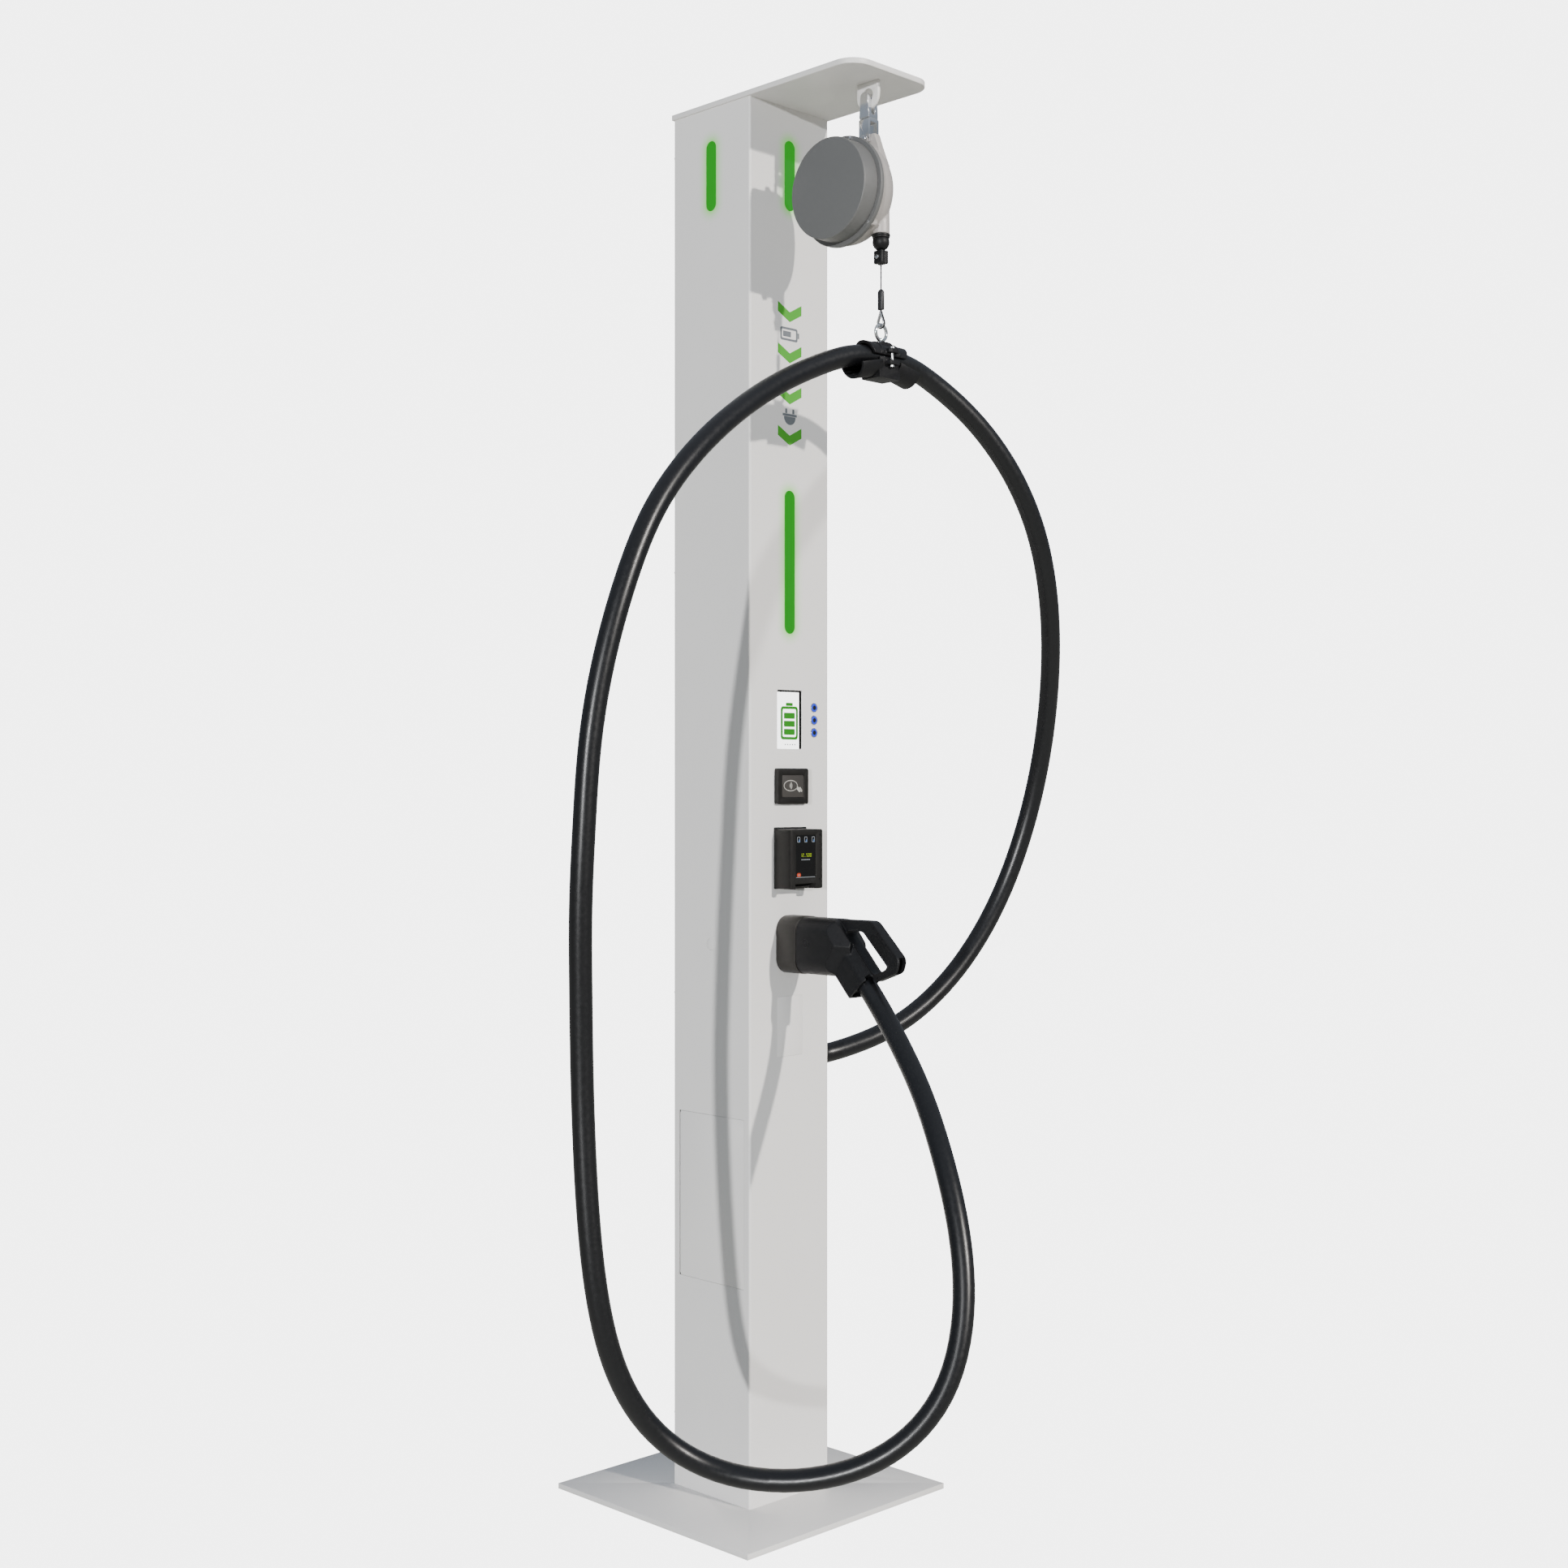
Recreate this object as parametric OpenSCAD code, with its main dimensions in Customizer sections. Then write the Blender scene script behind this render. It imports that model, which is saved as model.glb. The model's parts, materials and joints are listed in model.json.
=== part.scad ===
// EV charging post: a steel column with a roof arm, a spring balancer that carries the
// charging cable, and a plug parked in a holder.
// The origin is the centre of the base plate's underside. The front face looks along -Y, +Z is up.

/* [Column] */
// Width of the column, left to right
post_w = 200; // [160:1:260]
// Depth of the column, front to back
post_d = 200; // [160:1:260]
// Height of the column without the base plate and the roof
post_h = 2498; // [2420:1:3200]
// Thickness of the column's sheet
sheet_t = 2; // [1.5:0.1:3]
// Radius of the column's upright edges
post_r = 4; // [3:0.5:8]

/* [Base plate] */
// Side of the square base plate
base_w = 500; // [400:5:700]
// Thickness of the base plate
base_t = 10; // [8:1:20]
// Spacing of the four anchor holes, both ways
anchor_pitch = 130; // [90:5:140]
// Radius of an anchor hole
anchor_r = 7; // [5:0.5:9]
// Radius of the supply cable's way through the base plate
supply_r = 40; // [20:1:50]

/* [Roof] */
// Thickness of the roof plate
roof_t = 10; // [6:1:16]
// How far the roof stands past the sides and the back
roof_lip = 3; // [1:0.5:10]
// How far the roof reaches out past the front face
roof_reach = 254; // [236:1:330]
// Radius of the roof's two front corners
roof_r = 40; // [10:1:60]

/* [Status lights] */
// Width of a light slot
light_w = 26; // [16:1:40]
// Length of the three upper slots
upper_light_h = 126; // [60:1:200]
// Height of the middle of the upper slots
upper_light_z = 2386; // [2200:1:2400]
// Length of the level slot in the front face
level_light_h = 258; // [100:1:320]
// Height of the middle of the level slot
level_light_z = 1691; // [1650:1:1750]

/* [Front panel] */
// Width of the display window
display_w = 64; // [50:1:100]
// Height of the display window
display_h = 106; // [80:1:120]
// Height of the display's middle
display_z = 1408; // [1395:1:1430]
// Depth of the display glass behind the face
display_depth = 5; // [3:0.5:8]
// Distance of the button column from the middle
button_x = 62; // [56:1:66]
// Height of the middle button
button_z = 1408; // [1380:1:1430]
// Distance between two buttons
button_pitch = 22.7; // [20:0.1:28]
// Radius of a button's chrome bezel
bezel_r = 9; // [8:0.5:10]
// Radius of a button cap
cap_r = 6.8; // [4:0.1:7]
// Travel of a button
button_travel = 1.5; // [1:0.1:2]
// Width of the card reader
reader_w = 78; // [60:1:100]
// Height of the card reader
reader_h = 64; // [50:1:80]
// Height of the card reader's middle
reader_z = 1288; // [1275:1:1300]
// Depth of the card reader in front of the face
reader_d = 9; // [6:0.5:14]
// Width of the payment terminal
terminal_w = 80; // [70:1:100]
// Height of the payment terminal
terminal_h = 106; // [90:1:120]
// Depth of the payment terminal in front of the face
terminal_d = 43; // [35:1:60]
// Height of the payment terminal's middle
terminal_z = 1158; // [1150:1:1175]
// Height of the blanking plate
blank_h = 108; // [60:1:120]
// Height of the blanking plate's middle
blank_z = 857; // [840:1:870]

/* [Plug holder and plug] */
// Width of the plug holder
holder_w = 70; // [64:1:90]
// Height of the plug holder
holder_h = 103; // [98:1:120]
// Depth of the plug holder in front of the face
holder_d = 48; // [40:1:70]
// Height of the plug holder's middle
holder_z = 1005; // [1000:1:1015]
// Wall of the plug holder
holder_wall = 4; // [3:0.5:6]
// Length of the plug's body, from the holder to its handle
body_len = 92; // [80:1:110]
// Thickness of the plug's handle
handle_t = 22; // [18:1:40]
// Depth of the plug's nose in the holder
nose_len = 42; // [30:1:46]
// Free travel of the plug as it leaves the holder
plug_travel = 60; // [50:1:80]

/* [Charging cable] */
// Diameter of the charging cable
cable_d = 36; // [28:1:38]
// Clearance all round the cable where it passes through a fitting
cable_gap = 1; // [0.8:0.1:2]

/* [Service door] */
// Width of the service door
door_w = 170; // [120:1:175]
// Height of the service door
door_h = 300; // [200:1:340]
// Height of the door's middle
door_z = 546; // [500:1:560]
// Gap all round the door
door_gap = 0.5; // [0.3:0.1:1]

/* [Balancer] */
// Distance of the balancer's axis in front of the face
bal_out = 166; // [158:1:175]
// Height of the balancer's axis below the roof's underside
bal_drop = 192; // [180:1:220]
// Radius of the balancer's cover
cover_r = 87; // [78:1:92]
// Radius of the joint flange between cover and housing
flange_r = 95; // [93:1:100]
// Radius on the drum at which the rope lies
rope_lay_r = 56; // [50:1:58]
// Radius of the steel rope
rope_r = 1.2; // [1:0.1:2]

/* [Hidden] */
$fn = 48;

eps = 0.01;
fit = 0.2;                          // gap round a fixed insert
front_y = -post_d / 2;
left_x = -post_w / 2;
roof_z = base_t + post_h;           // underside of the roof
cover_t = sheet_t;                  // rear cover sheet
rear_y = post_d / 2 - cover_t;      // rear edge of the column's sides
return_w = 16;                      // inward returns that carry the rear cover
screw_r = 2.5;
screw_rows = [130, 900, 1670, post_h - 68];
frame_wall = 6;
frame_h = 40;
frame_side = post_w - 2 * sheet_t - 2 * fit;
frame_deep = rear_y - sheet_t + post_d / 2 - sheet_t - 2 * fit;
frame_mid_y = (front_y + sheet_t + rear_y - sheet_t) / 2;

slot_corner = 2;
lens_flange = 4;
lens_back = 3;
board_t = 1.6;
led_pitch = 18;

bezel_barrel_r = bezel_r - 1;
barrel_len = 22;
cap_len = 10;
cap_proud = 2;

release_z = holder_z - 1;
release_r = 11;
glass_t = 2;
lead_hole_r = 8;                    // way through the face for a fitting's leads

pad_w = reader_w - 22;
pad_h = reader_h - 24;
gasket_t = 3;
screen_w = 50;
screen_h = 76;
screen_x = -2.3;
screen_z = terminal_z + 5;
mouth_x0 = -29;
mouth_x1 = 22.5;
mouth_h = 9.5;
mouth_d = 15;

holder_r = 27;
socket_gap = 0.5;
body_w = holder_w - 2;
body_h = holder_h - 2;
body_y0 = front_y - holder_d - 0.5;  // plug's shoulder, just clear of the holder
body_y1 = body_y0 - body_len;
ac_r = 20;                           // upper, round half of the nose
ac_z = 18;
dc_w = 44;
dc_h = 24;
dc_z = -27;
branch_tilt = 48;                    // the cable leaves the plug this far below level
exit_y = body_y1 - 52;               // where the cable leaves the plug
exit_z = holder_z - 67;
cable_seat = 25;                     // depth of the cable in the plug and in the gland
cable_hole_r = cable_d / 2 + cable_gap;

outlet_y = -30;
outlet_z = 785;
gland_thread_r = 24;
gland_len = 45;

door_t = 4;                          // depth of the door's rim and of its hinge barrel
door_corner = 1.5;
hinge_y = door_w / 2 - door_t;
hinge_pin_r = 1.5;
hinge_pin_len = 9;

bal_y = front_y - bal_out;
bal_z = roof_z - bal_drop;
rope_y = bal_y - rope_lay_r;
bracket_y = bal_y - 27;
bracket_t = 6;
bracket_r = 25;
bracket_hole_r = 12;
bracket_eye_z = roof_z - 23;
lug_z = roof_z - 100;                // lug pin
lug_t = 15;
lug_pin_r = 4;
fork_top = roof_z - 64;
housing_wall = 3;
flange_x0 = -42;
flange_x1 = -34;
cover_x = -75;
dome_x = 33;
dome_r = 90;                          // the domed side where it meets the flange
shaft_r = 10;
spring_turns = 7;
spring_t = 1.2;
spring_steps = 24;
nozzle_r = 15;
nozzle_z = bal_z - 77;
guide_z = nozzle_z - 7;
ball_r = 14.8;
ball_flat = 6.6;                     // height of the ball's flat top above its middle
ball_z = guide_z - ball_flat;
stop_h = 22;
stop_z = ball_z - ball_r - stop_h / 2;
ferrule_z = 2127;
ferrule_h = 35;
thimble_top_z = 2108;
thimble_r = 8.5;
thimble_wall = 2.5;
ring_z = 2070;
ring_r = 13.5;
ring_wire = 3;
thimble_z = ring_z + ring_r - ring_wire - 0.5 + thimble_r - thimble_wall;
clamp_z = 2026;                      // height of the cable in its clamp
clamp_gap = 0.6;                     // cable clearance in the clamp
clamp_r = cable_d / 2 + clamp_gap;
saddle_len = 106;
boss_h = 26;                         // top of the saddle's boss above the cable's middle
wing_tilt = 13;
wing_len = 50;
wing_drop = 8;                       // the wings' upper edges below the cable's middle
wing_r = cable_d / 2 + 4;
wing_wall = 4;
ear_y = cable_d / 2 + 8;             // clamp bolt's distance from the cable's middle

panel_x = 40;
panel_z0 = 380;
panel_z1 = 930;

exit_dir = [0, -cos(branch_tilt), -sin(branch_tilt)];
exit_at = [0, exit_y, exit_z];
outlet_x = post_w / 2 + gland_len - cable_seat;

// Points that the charging cable follows, from the gland over the clamp to the plug.
riser_route = [[outlet_x, outlet_y, outlet_z], [outlet_x + 25, outlet_y, outlet_z],
               [outlet_x + 50, outlet_y, outlet_z], [250, -70, 808], [335, -100, 848],
               [425, -125, 920], [495, -150, 1015], [540, -175, 1120], [560, -205, 1235],
               [555, -240, 1350], [525, -280, 1460], [480, -320, 1565], [430, -350, 1665], [370, -370, 1765],
               [295, -370, 1865], [210, -350, 1950], [125, rope_y - 3, clamp_z - 21],
               [60, rope_y, clamp_z]];
drop_route = [[0, rope_y, clamp_z], [-60, rope_y, clamp_z], [-125, rope_y + 7, clamp_z - 21],
              [-240, -315, 1955], [-350, -325, 1890], [-450, -335, 1815], [-535, -335, 1720],
              [-590, -335, 1605], [-625, -325, 1485], [-645, -315, 1360], [-650, -310, 1230],
              [-650, -300, 1105], [-640, -290, 980], [-630, -280, 855], [-625, -280, 730],
              [-620, -285, 605], [-605, -290, 480], [-560, -285, 360], [-480, -290, 255],
              [-395, -355, 195], [-315, -465, 195]];
rise_route = [[-240, -565, 240], [-170, -620, 330], [-125, -620, 455], [-105, -590, 580],
              [-85, -535, 690], [-40, -450, 785], exit_at + 84 * exit_dir - [4, 0, 0],
              exit_at + 15 * exit_dir, exit_at - (cable_seat - 0.2) * exit_dir];
route = concat(riser_route, drop_route, rise_route);
clamp_at = 18;                       // the route's point in the middle of the clamp
low_at = 37.5;                       // the route's lowest stretch
route_end = len(route) - 1;

// ---------- helpers ----------

// A rectangle with round corners, centred
module rounded(w, h, r) {
    square([w - 2 * r, h], center = true);
    square([w, h - 2 * r], center = true);
    for (x = [-1, 1], y = [-1, 1])
        translate([x * (w / 2 - r), y * (h / 2 - r)])
            circle(r);
}

// An upright slot with full-round ends, centred
module slot(w, h) {
    square([w, h - w], center = true);
    for (y = [-1, 1])
        translate([0, y * (h - w) / 2])
            circle(w / 2);
}

// Extrudes an XZ outline from y0 to y1
module along_y(y0, y1) {
    translate([0, y1, 0])
        rotate([90, 0, 0])
            linear_extrude(y1 - y0)
                children();
}

// Extrudes a YZ outline from x0 to x1
module along_x(x0, x1) {
    translate([x0, 0, 0])
        rotate([90, 0, 90])
            linear_extrude(x1 - x0)
                children();
}

// Puts what is drawn on the plane y = 0, looking along -Y, on a face of the column:
// -1 is the left side, 0 the front and 1 the right side
module on_face(side) {
    rotate([0, 0, side * 90])
        translate([0, side == 0 ? front_y : left_x, 0])
            children();
}

// A round rod along Y from y0 to y1
module rod_y(r, y0, y1) {
    translate([0, y1, 0])
        rotate([90, 0, 0])
            cylinder(r = r, h = y1 - y0);
}

// A round rod along X from x0 to x1
module rod_x(r, x0, x1) {
    translate([x0, 0, 0])
        rotate([0, 90, 0])
            cylinder(r = r, h = x1 - x0);
}

// ---------- base, column and roof ----------

module base_plate() {
    color("lightgray")
        difference() {
            translate([-base_w / 2, -base_w / 2, 0])
                cube([base_w, base_w, base_t]);
            translate([0, 0, -eps])
                cylinder(r = supply_r, h = base_t + 2 * eps, $fn = 96);
            for (x = [-1, 1], y = [-1, 1])
                translate([x * anchor_pitch / 2, y * anchor_pitch / 2, -eps])
                    cylinder(r = anchor_r, h = base_t + 2 * eps);
        }
}

module column_section() {
    difference() {
        rounded(post_w, post_d, post_r);
        rounded(post_w - 2 * sheet_t, post_d - 2 * sheet_t, post_r - sheet_t);
        translate([-post_w, rear_y])
            square([2 * post_w, post_d]);
    }
    for (side = [-1, 1])
        translate([side * (post_w / 2 - return_w / 2) - return_w / 2, rear_y - sheet_t])
            square([return_w, sheet_t]);
}

// A window through a face's sheet, from an outline in the face's own X and Z
module face_window(side, x, z) {
    on_face(side)
        translate([x, 0, z])
            along_y(-1, sheet_t + 1)
                children();
}

module column_windows() {
    for (side = [-1, 0, 1])
        face_window(side, 0, upper_light_z)
            slot(light_w, upper_light_h);
    face_window(0, 0, level_light_z)
        slot(light_w, level_light_h);
    face_window(0, 0, display_z)
        rounded(display_w, display_h, slot_corner);
    for (n = [-1, 0, 1])
        face_window(0, button_x, button_z + n * button_pitch)
            circle(bezel_barrel_r + fit);
    face_window(0, 0, reader_z)
        circle(lead_hole_r);
    face_window(0, 0, terminal_z)
        circle(lead_hole_r);
    face_window(0, 0, holder_z)
        circle(lead_hole_r);
    face_window(0, 0, blank_z)
        rounded(display_w, blank_h, slot_corner);
    face_window(-1, 0, door_z)
        rounded(door_w + 2 * door_gap, door_h + 2 * door_gap, door_corner);
    face_window(-1, 0, release_z)
        circle(release_r + fit);
    face_window(1, outlet_y, outlet_z)
        circle(gland_thread_r + fit);
}

module screw_holes(r) {
    for (side = [-1, 1], z = screw_rows)
        translate([side * (post_w / 2 - return_w / 2), 0, base_t + z])
            rod_y(r, rear_y - 2 * sheet_t, post_d / 2 + 1);
}

module column_shell() {
    color("gainsboro")
        difference() {
            translate([0, 0, base_t])
                linear_extrude(post_h)
                    column_section();
            column_windows();
            screw_holes(screw_r + fit);
        }
}

module rear_cover() {
    color("gainsboro")
        difference() {
            translate([0, 0, base_t + 1])
                linear_extrude(post_h - 2)
                    intersection() {
                        rounded(post_w, post_d, post_r);
                        translate([-post_w, post_d / 2 - cover_t])
                            square([2 * post_w, post_d]);
                    }
            screw_holes(screw_r + fit);
        }
}

module cover_screws() {
    color("silver")
        for (side = [-1, 1], z = screw_rows)
            translate([side * (post_w / 2 - return_w / 2), 0, base_t + z]) {
                rod_y(screw_r, rear_y - 2 * sheet_t - 4, post_d / 2);
                rod_y(2 * screw_r, post_d / 2, post_d / 2 + 2.4);
            }
}

// Square rings inside the column's two ends, which tie it to the base plate and the roof
module end_frames() {
    color("gray")
        for (z = [base_t, roof_z - frame_h])
            translate([0, frame_mid_y, z])
                linear_extrude(frame_h)
                    difference() {
                        rounded(frame_side, frame_deep, post_r - sheet_t + 1);
                        square([frame_side - 2 * frame_wall, frame_deep - 2 * frame_wall],
                               center = true);
                    }
}

module roof_plate() {
    half = post_w / 2 + roof_lip;
    back = post_d / 2 + roof_lip;
    edge = front_y - roof_reach;
    color("gainsboro")
        translate([0, 0, roof_z])
            linear_extrude(roof_t) {
                translate([-half, edge + roof_r])
                    square([2 * half, back - edge - roof_r]);
                translate([-half + roof_r, edge])
                    square([2 * (half - roof_r), roof_r]);
                for (side = [-1, 1])
                    translate([side * (half - roof_r), edge + roof_r])
                        circle(roof_r, $fn = 96);
            }
}

module balancer_bracket() {
    color("gainsboro")
        along_x(-bracket_t / 2, bracket_t / 2)
            translate([bracket_y, 0])
                difference() {
                    union() {
                        translate([0, bracket_eye_z])
                            circle(bracket_r, $fn = 96);
                        translate([-bracket_r, bracket_eye_z])
                            square([2 * bracket_r, roof_z - bracket_eye_z]);
                    }
                    translate([0, bracket_eye_z])
                        circle(bracket_hole_r);
                    translate([-2 * bracket_r, roof_z])
                        square([4 * bracket_r, bracket_r]);
                }
}

// ---------- status lights ----------

module lens(h) {
    along_y(0, sheet_t)
        slot(light_w - 2 * fit, h - 2 * fit);
    along_y(sheet_t, sheet_t + lens_back)
        slot(light_w + 2 * lens_flange, h + 2 * lens_flange);
}

module led_board(h) {
    back = sheet_t + lens_back;
    count = floor((h - light_w) / led_pitch);
    along_y(back + 1, back + 1 + board_t)
        rounded(light_w, h, 2);
    for (n = [0 : count])
        translate([0, 0, (n - count / 2) * led_pitch])
            along_y(back, back + 1)
                square([5, 5], center = true);
}

module upper_light_lenses() {
    color("limegreen")
        for (side = [-1, 0, 1])
            on_face(side)
                translate([0, 0, upper_light_z])
                    lens(upper_light_h);
}

module level_light_lens() {
    color("limegreen")
        on_face(0)
            translate([0, 0, level_light_z])
                lens(level_light_h);
}

module led_boards() {
    color("white") {
        for (side = [-1, 0, 1])
            on_face(side)
                translate([0, 0, upper_light_z])
                    led_board(upper_light_h);
        on_face(0)
            translate([0, 0, level_light_z])
                led_board(level_light_h);
    }
}

// ---------- service door ----------

module hinge_ears() {
    reach = 16;
    ear_t = 3;
    ear_z = door_h / 2 + door_gap + 1;
    color("gray")
        for (end = [-1, 1]) {
            z = door_z + end * (ear_z + ear_t / 2);
            translate([left_x + sheet_t, hinge_y - reach / 2, z - ear_t / 2])
                cube([8, reach, ear_t]);
            translate([left_x + door_t, hinge_y, z - end * (hinge_pin_len / 2)])
                cylinder(r = hinge_pin_r, h = hinge_pin_len, center = true);
        }
}

// A magnet block on the wall, just behind the door's free edge
module door_catch() {
    x0 = left_x + sheet_t;
    color("dimgray") {
        translate([x0, -door_w / 2 - 11, door_z - 12])
            cube([6, 9, 24]);
        translate([left_x + door_t + fit, -door_w / 2 - 11, door_z - 12])
            cube([4, 26, 24]);
    }
}

module service_door() {
    rim_inset = 3;
    rim_w = 9;
    barrel_h = door_h - 2 * rim_inset;
    leaf_mid = -door_t / 2;
    color("gainsboro")
        difference() {
            union() {
                translate([0, leaf_mid, door_z])
                    along_x(left_x, left_x + sheet_t)
                        rounded(door_w - door_t, door_h, door_corner - door_gap);
                translate([0, leaf_mid, door_z])
                    along_x(left_x + sheet_t, left_x + door_t)
                        difference() {
                            rounded(door_w - door_t - 2 * rim_inset, barrel_h, 3);
                            rounded(door_w - door_t - 2 * rim_inset - 2 * rim_w,
                                    barrel_h - 2 * rim_w, 2);
                        }
                translate([left_x + door_t, hinge_y, door_z - barrel_h / 2])
                    cylinder(r = door_t, h = barrel_h);
            }
            for (end = [-1, 1])
                translate([left_x + door_t, hinge_y, door_z + end * barrel_h / 2])
                    cylinder(r = hinge_pin_r + 0.05, h = 2 * hinge_pin_len, center = true);
        }
}

module release_plug() {
    color("gainsboro")
        on_face(-1)
            translate([0, 0, release_z]) {
                rod_y(release_r, 0, sheet_t);
                rod_y(release_r + 3, sheet_t, sheet_t + 2);
            }
}

module blanking_plate() {
    color("gainsboro")
        on_face(0)
            translate([0, 0, blank_z]) {
                along_y(0, sheet_t)
                    rounded(display_w - 2 * fit, blank_h - 2 * fit, slot_corner - fit);
                along_y(sheet_t, 2 * sheet_t)
                    rounded(display_w + 16, blank_h + 16, 4);
            }
}

// ---------- display and buttons ----------

module display_module() {
    color("black")
        on_face(0)
            translate([0, 0, display_z])
                difference() {
                    along_y(sheet_t, display_depth + glass_t + 14)
                        rounded(display_w + 16, display_h + 16, 4);
                    along_y(sheet_t - 1, display_depth + glass_t)
                        rounded(display_w, display_h, slot_corner);
                }
}

module display_glass() {
    color("white")
        on_face(0)
            translate([0, 0, display_z])
                along_y(display_depth, display_depth + glass_t)
                    rounded(display_w - 2 * fit, display_h - 2 * fit, slot_corner - fit);
}

module at_button(n) {
    on_face(0)
        translate([button_x, 0, button_z + n * button_pitch])
            children();
}

module button_bezels() {
    bore_r = cap_r + 0.15;
    color("silver")
        for (n = [-1, 0, 1])
            at_button(n)
                difference() {
                    union() {
                        rod_y(bezel_r, -1.5, 0);
                        rod_y(bezel_barrel_r, 0, barrel_len);
                    }
                    rod_y(bore_r, -2, cap_len - cap_proud + button_travel + 0.5);
                }
}

module button_cap(n) {
    color("royalblue")
        at_button(n)
            rod_y(cap_r, -cap_proud, cap_len - cap_proud);
}

module button_cap_top() {
    button_cap(1);
}

module button_cap_middle() {
    button_cap(0);
}

module button_cap_bottom() {
    button_cap(-1);
}

// ---------- card reader and payment terminal ----------

module reader_frame() {
    color("black")
        on_face(0)
            translate([0, 0, reader_z])
                difference() {
                    along_y(-reader_d, 0)
                        rounded(reader_w, reader_h, 4);
                    along_y(-reader_d - 1, -reader_d + 4)
                        rounded(pad_w, pad_h, 3);
                    rod_y(lead_hole_r - 1, -reader_d, 1);
                }
}

module reader_pad() {
    color("dimgray")
        on_face(0)
            translate([0, 0, reader_z])
                along_y(-reader_d + 1, -reader_d + 4)
                    rounded(pad_w - 2 * fit, pad_h - 2 * fit, 3 - fit);
}

module terminal_gasket() {
    color("black")
        on_face(0)
            translate([0, 0, terminal_z + 1.5])
                difference() {
                    along_y(-gasket_t, 0)
                        rounded(terminal_w + 1, terminal_h + 4, 2);
                    rod_y(lead_hole_r + 2, -gasket_t - 1, 1);
                }
}

module terminal_housing() {
    low = terminal_z - terminal_h / 2;
    color("black")
        on_face(0)
            difference() {
                translate([0, 0, terminal_z])
                    along_y(-terminal_d, -gasket_t)
                        rounded(terminal_w, terminal_h, 3);
                translate([screen_x, 0, screen_z])
                    along_y(-terminal_d - 1, -terminal_d + 2)
                        rounded(screen_w, screen_h, 1);
                translate([mouth_x0, -terminal_d - 1, low - 1])
                    cube([mouth_x1 - mouth_x0, mouth_d + 1, mouth_h + 1]);
                translate([mouth_x0, -terminal_d + mouth_d - 1, low + mouth_h - 5])
                    cube([mouth_x1 - mouth_x0, 15, 2]);
            }
}

module terminal_screen() {
    color("darkslategray")
        on_face(0)
            translate([screen_x, 0, screen_z])
                along_y(-terminal_d + 0.5, -terminal_d + 2)
                    rounded(screen_w - 2 * fit, screen_h - 2 * fit, 1 - fit);
}

// ---------- plug holder ----------

// The nose's outline: a round half for the signal pins over a wide half for the DC pins
module nose_outline(grow) {
    translate([0, ac_z])
        circle(ac_r + grow, $fn = 64);
    translate([0, dc_z])
        rounded(dc_w + 2 * grow, dc_h + 2 * grow, dc_h / 2 - 1 + grow);
    translate([0, (ac_z + dc_z) / 2])
        square([ac_r + 2 * grow, ac_z - dc_z - ac_r], center = true);
}

module plug_holder() {
    color("dimgray")
        on_face(0)
            translate([0, 0, holder_z])
                difference() {
                    along_y(-holder_d, 0)
                        rounded(holder_w, holder_h, holder_r);
                    along_y(-holder_d - 1, -3)
                        rounded(holder_w - 2 * holder_wall, holder_h - 2 * holder_wall,
                                holder_r - holder_wall);
                    rod_y(lead_hole_r, -4, 1);
                }
}

module holder_socket() {
    color("black")
        on_face(0)
            translate([0, 0, holder_z])
                difference() {
                    along_y(-holder_d + 2, -3)
                        rounded(holder_w - 2 * holder_wall - 2 * fit,
                                holder_h - 2 * holder_wall - 2 * fit,
                                holder_r - holder_wall - fit);
                    along_y(-holder_d - 1, -holder_d + nose_len + 3)
                        nose_outline(socket_gap);
                }
}

// ---------- plug ----------

// The handle in the YZ plane, from the body to the open tip
module handle_outline() {
    polygon([[body_y1 + 46, 0], [body_y1 + 26, 49], [body_y1 - 65, 51], [body_y1 - 73, 47],
             [body_y1 - 128, -9], [body_y1 - 133, -18], [body_y1 - 126, -35],
             [body_y1 - 84, -52], [body_y1 - 70, -57], [body_y1 - 62, -60],
             [body_y1 - 23, -86], [body_y1 + 14, -46]]);
}

// The opening for the fingers, along the cable's exit
module finger_outline() {
    polygon([[body_y1 - 14, 29], [body_y1 - 16, 31], [body_y1 - 50, 31], [body_y1 - 106, -25],
             [body_y1 - 102, -31], [body_y1 - 78, -42], [body_y1 - 70, -37],
             [body_y1 - 14, 25]]);
}

// Turns what is drawn along +Z so that it runs out along the cable's exit
module at_exit() {
    translate([0, exit_y, exit_z])
        rotate([90 + branch_tilt, 0, 0])
            children();
}

// The plug's body, which narrows to the handle
module connector_body() {
    side = body_w / 2;
    neck = handle_t / 2 + 2;
    intersection() {
        translate([0, 0, holder_z])
            along_y(body_y1 - 22, body_y0)
                rounded(body_w, body_h, holder_r - 1);
        translate([0, 0, holder_z - body_h])
            linear_extrude(2 * body_h)
                polygon([[-side - 1, body_y0 + 1], [side + 1, body_y0 + 1],
                         [side + 1, body_y1 + 28], [neck, body_y1 - 22],
                         [-neck, body_y1 - 22], [-side - 1, body_y1 + 28]]);
        translate([0, 0, holder_z])
            along_x(-side - 1, side + 1)
                polygon([[body_y0 + 1, -body_h], [body_y0 + 1, body_h],
                         [body_y1 - 22, body_h], [body_y1 - 22, 20],
                         [body_y1 + 14, -body_h / 2 - 1]]);
    }
}

module connector_shell() {
    color("black")
        difference() {
            union() {
                connector_body();
                translate([0, 0, holder_z])
                    along_x(-handle_t / 2, handle_t / 2)
                        handle_outline();
                at_exit()
                    translate([0, 0, -86])
                        linear_extrude(81)
                            rounded(46, 66, 18);
            }
            translate([0, 0, holder_z])
                along_x(-handle_t, handle_t)
                    finger_outline();
            at_exit()
                translate([0, 0, -cable_seat])
                    cylinder(r = cable_hole_r, h = cable_seat + 40, $fn = 64);
        }
}

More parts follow.
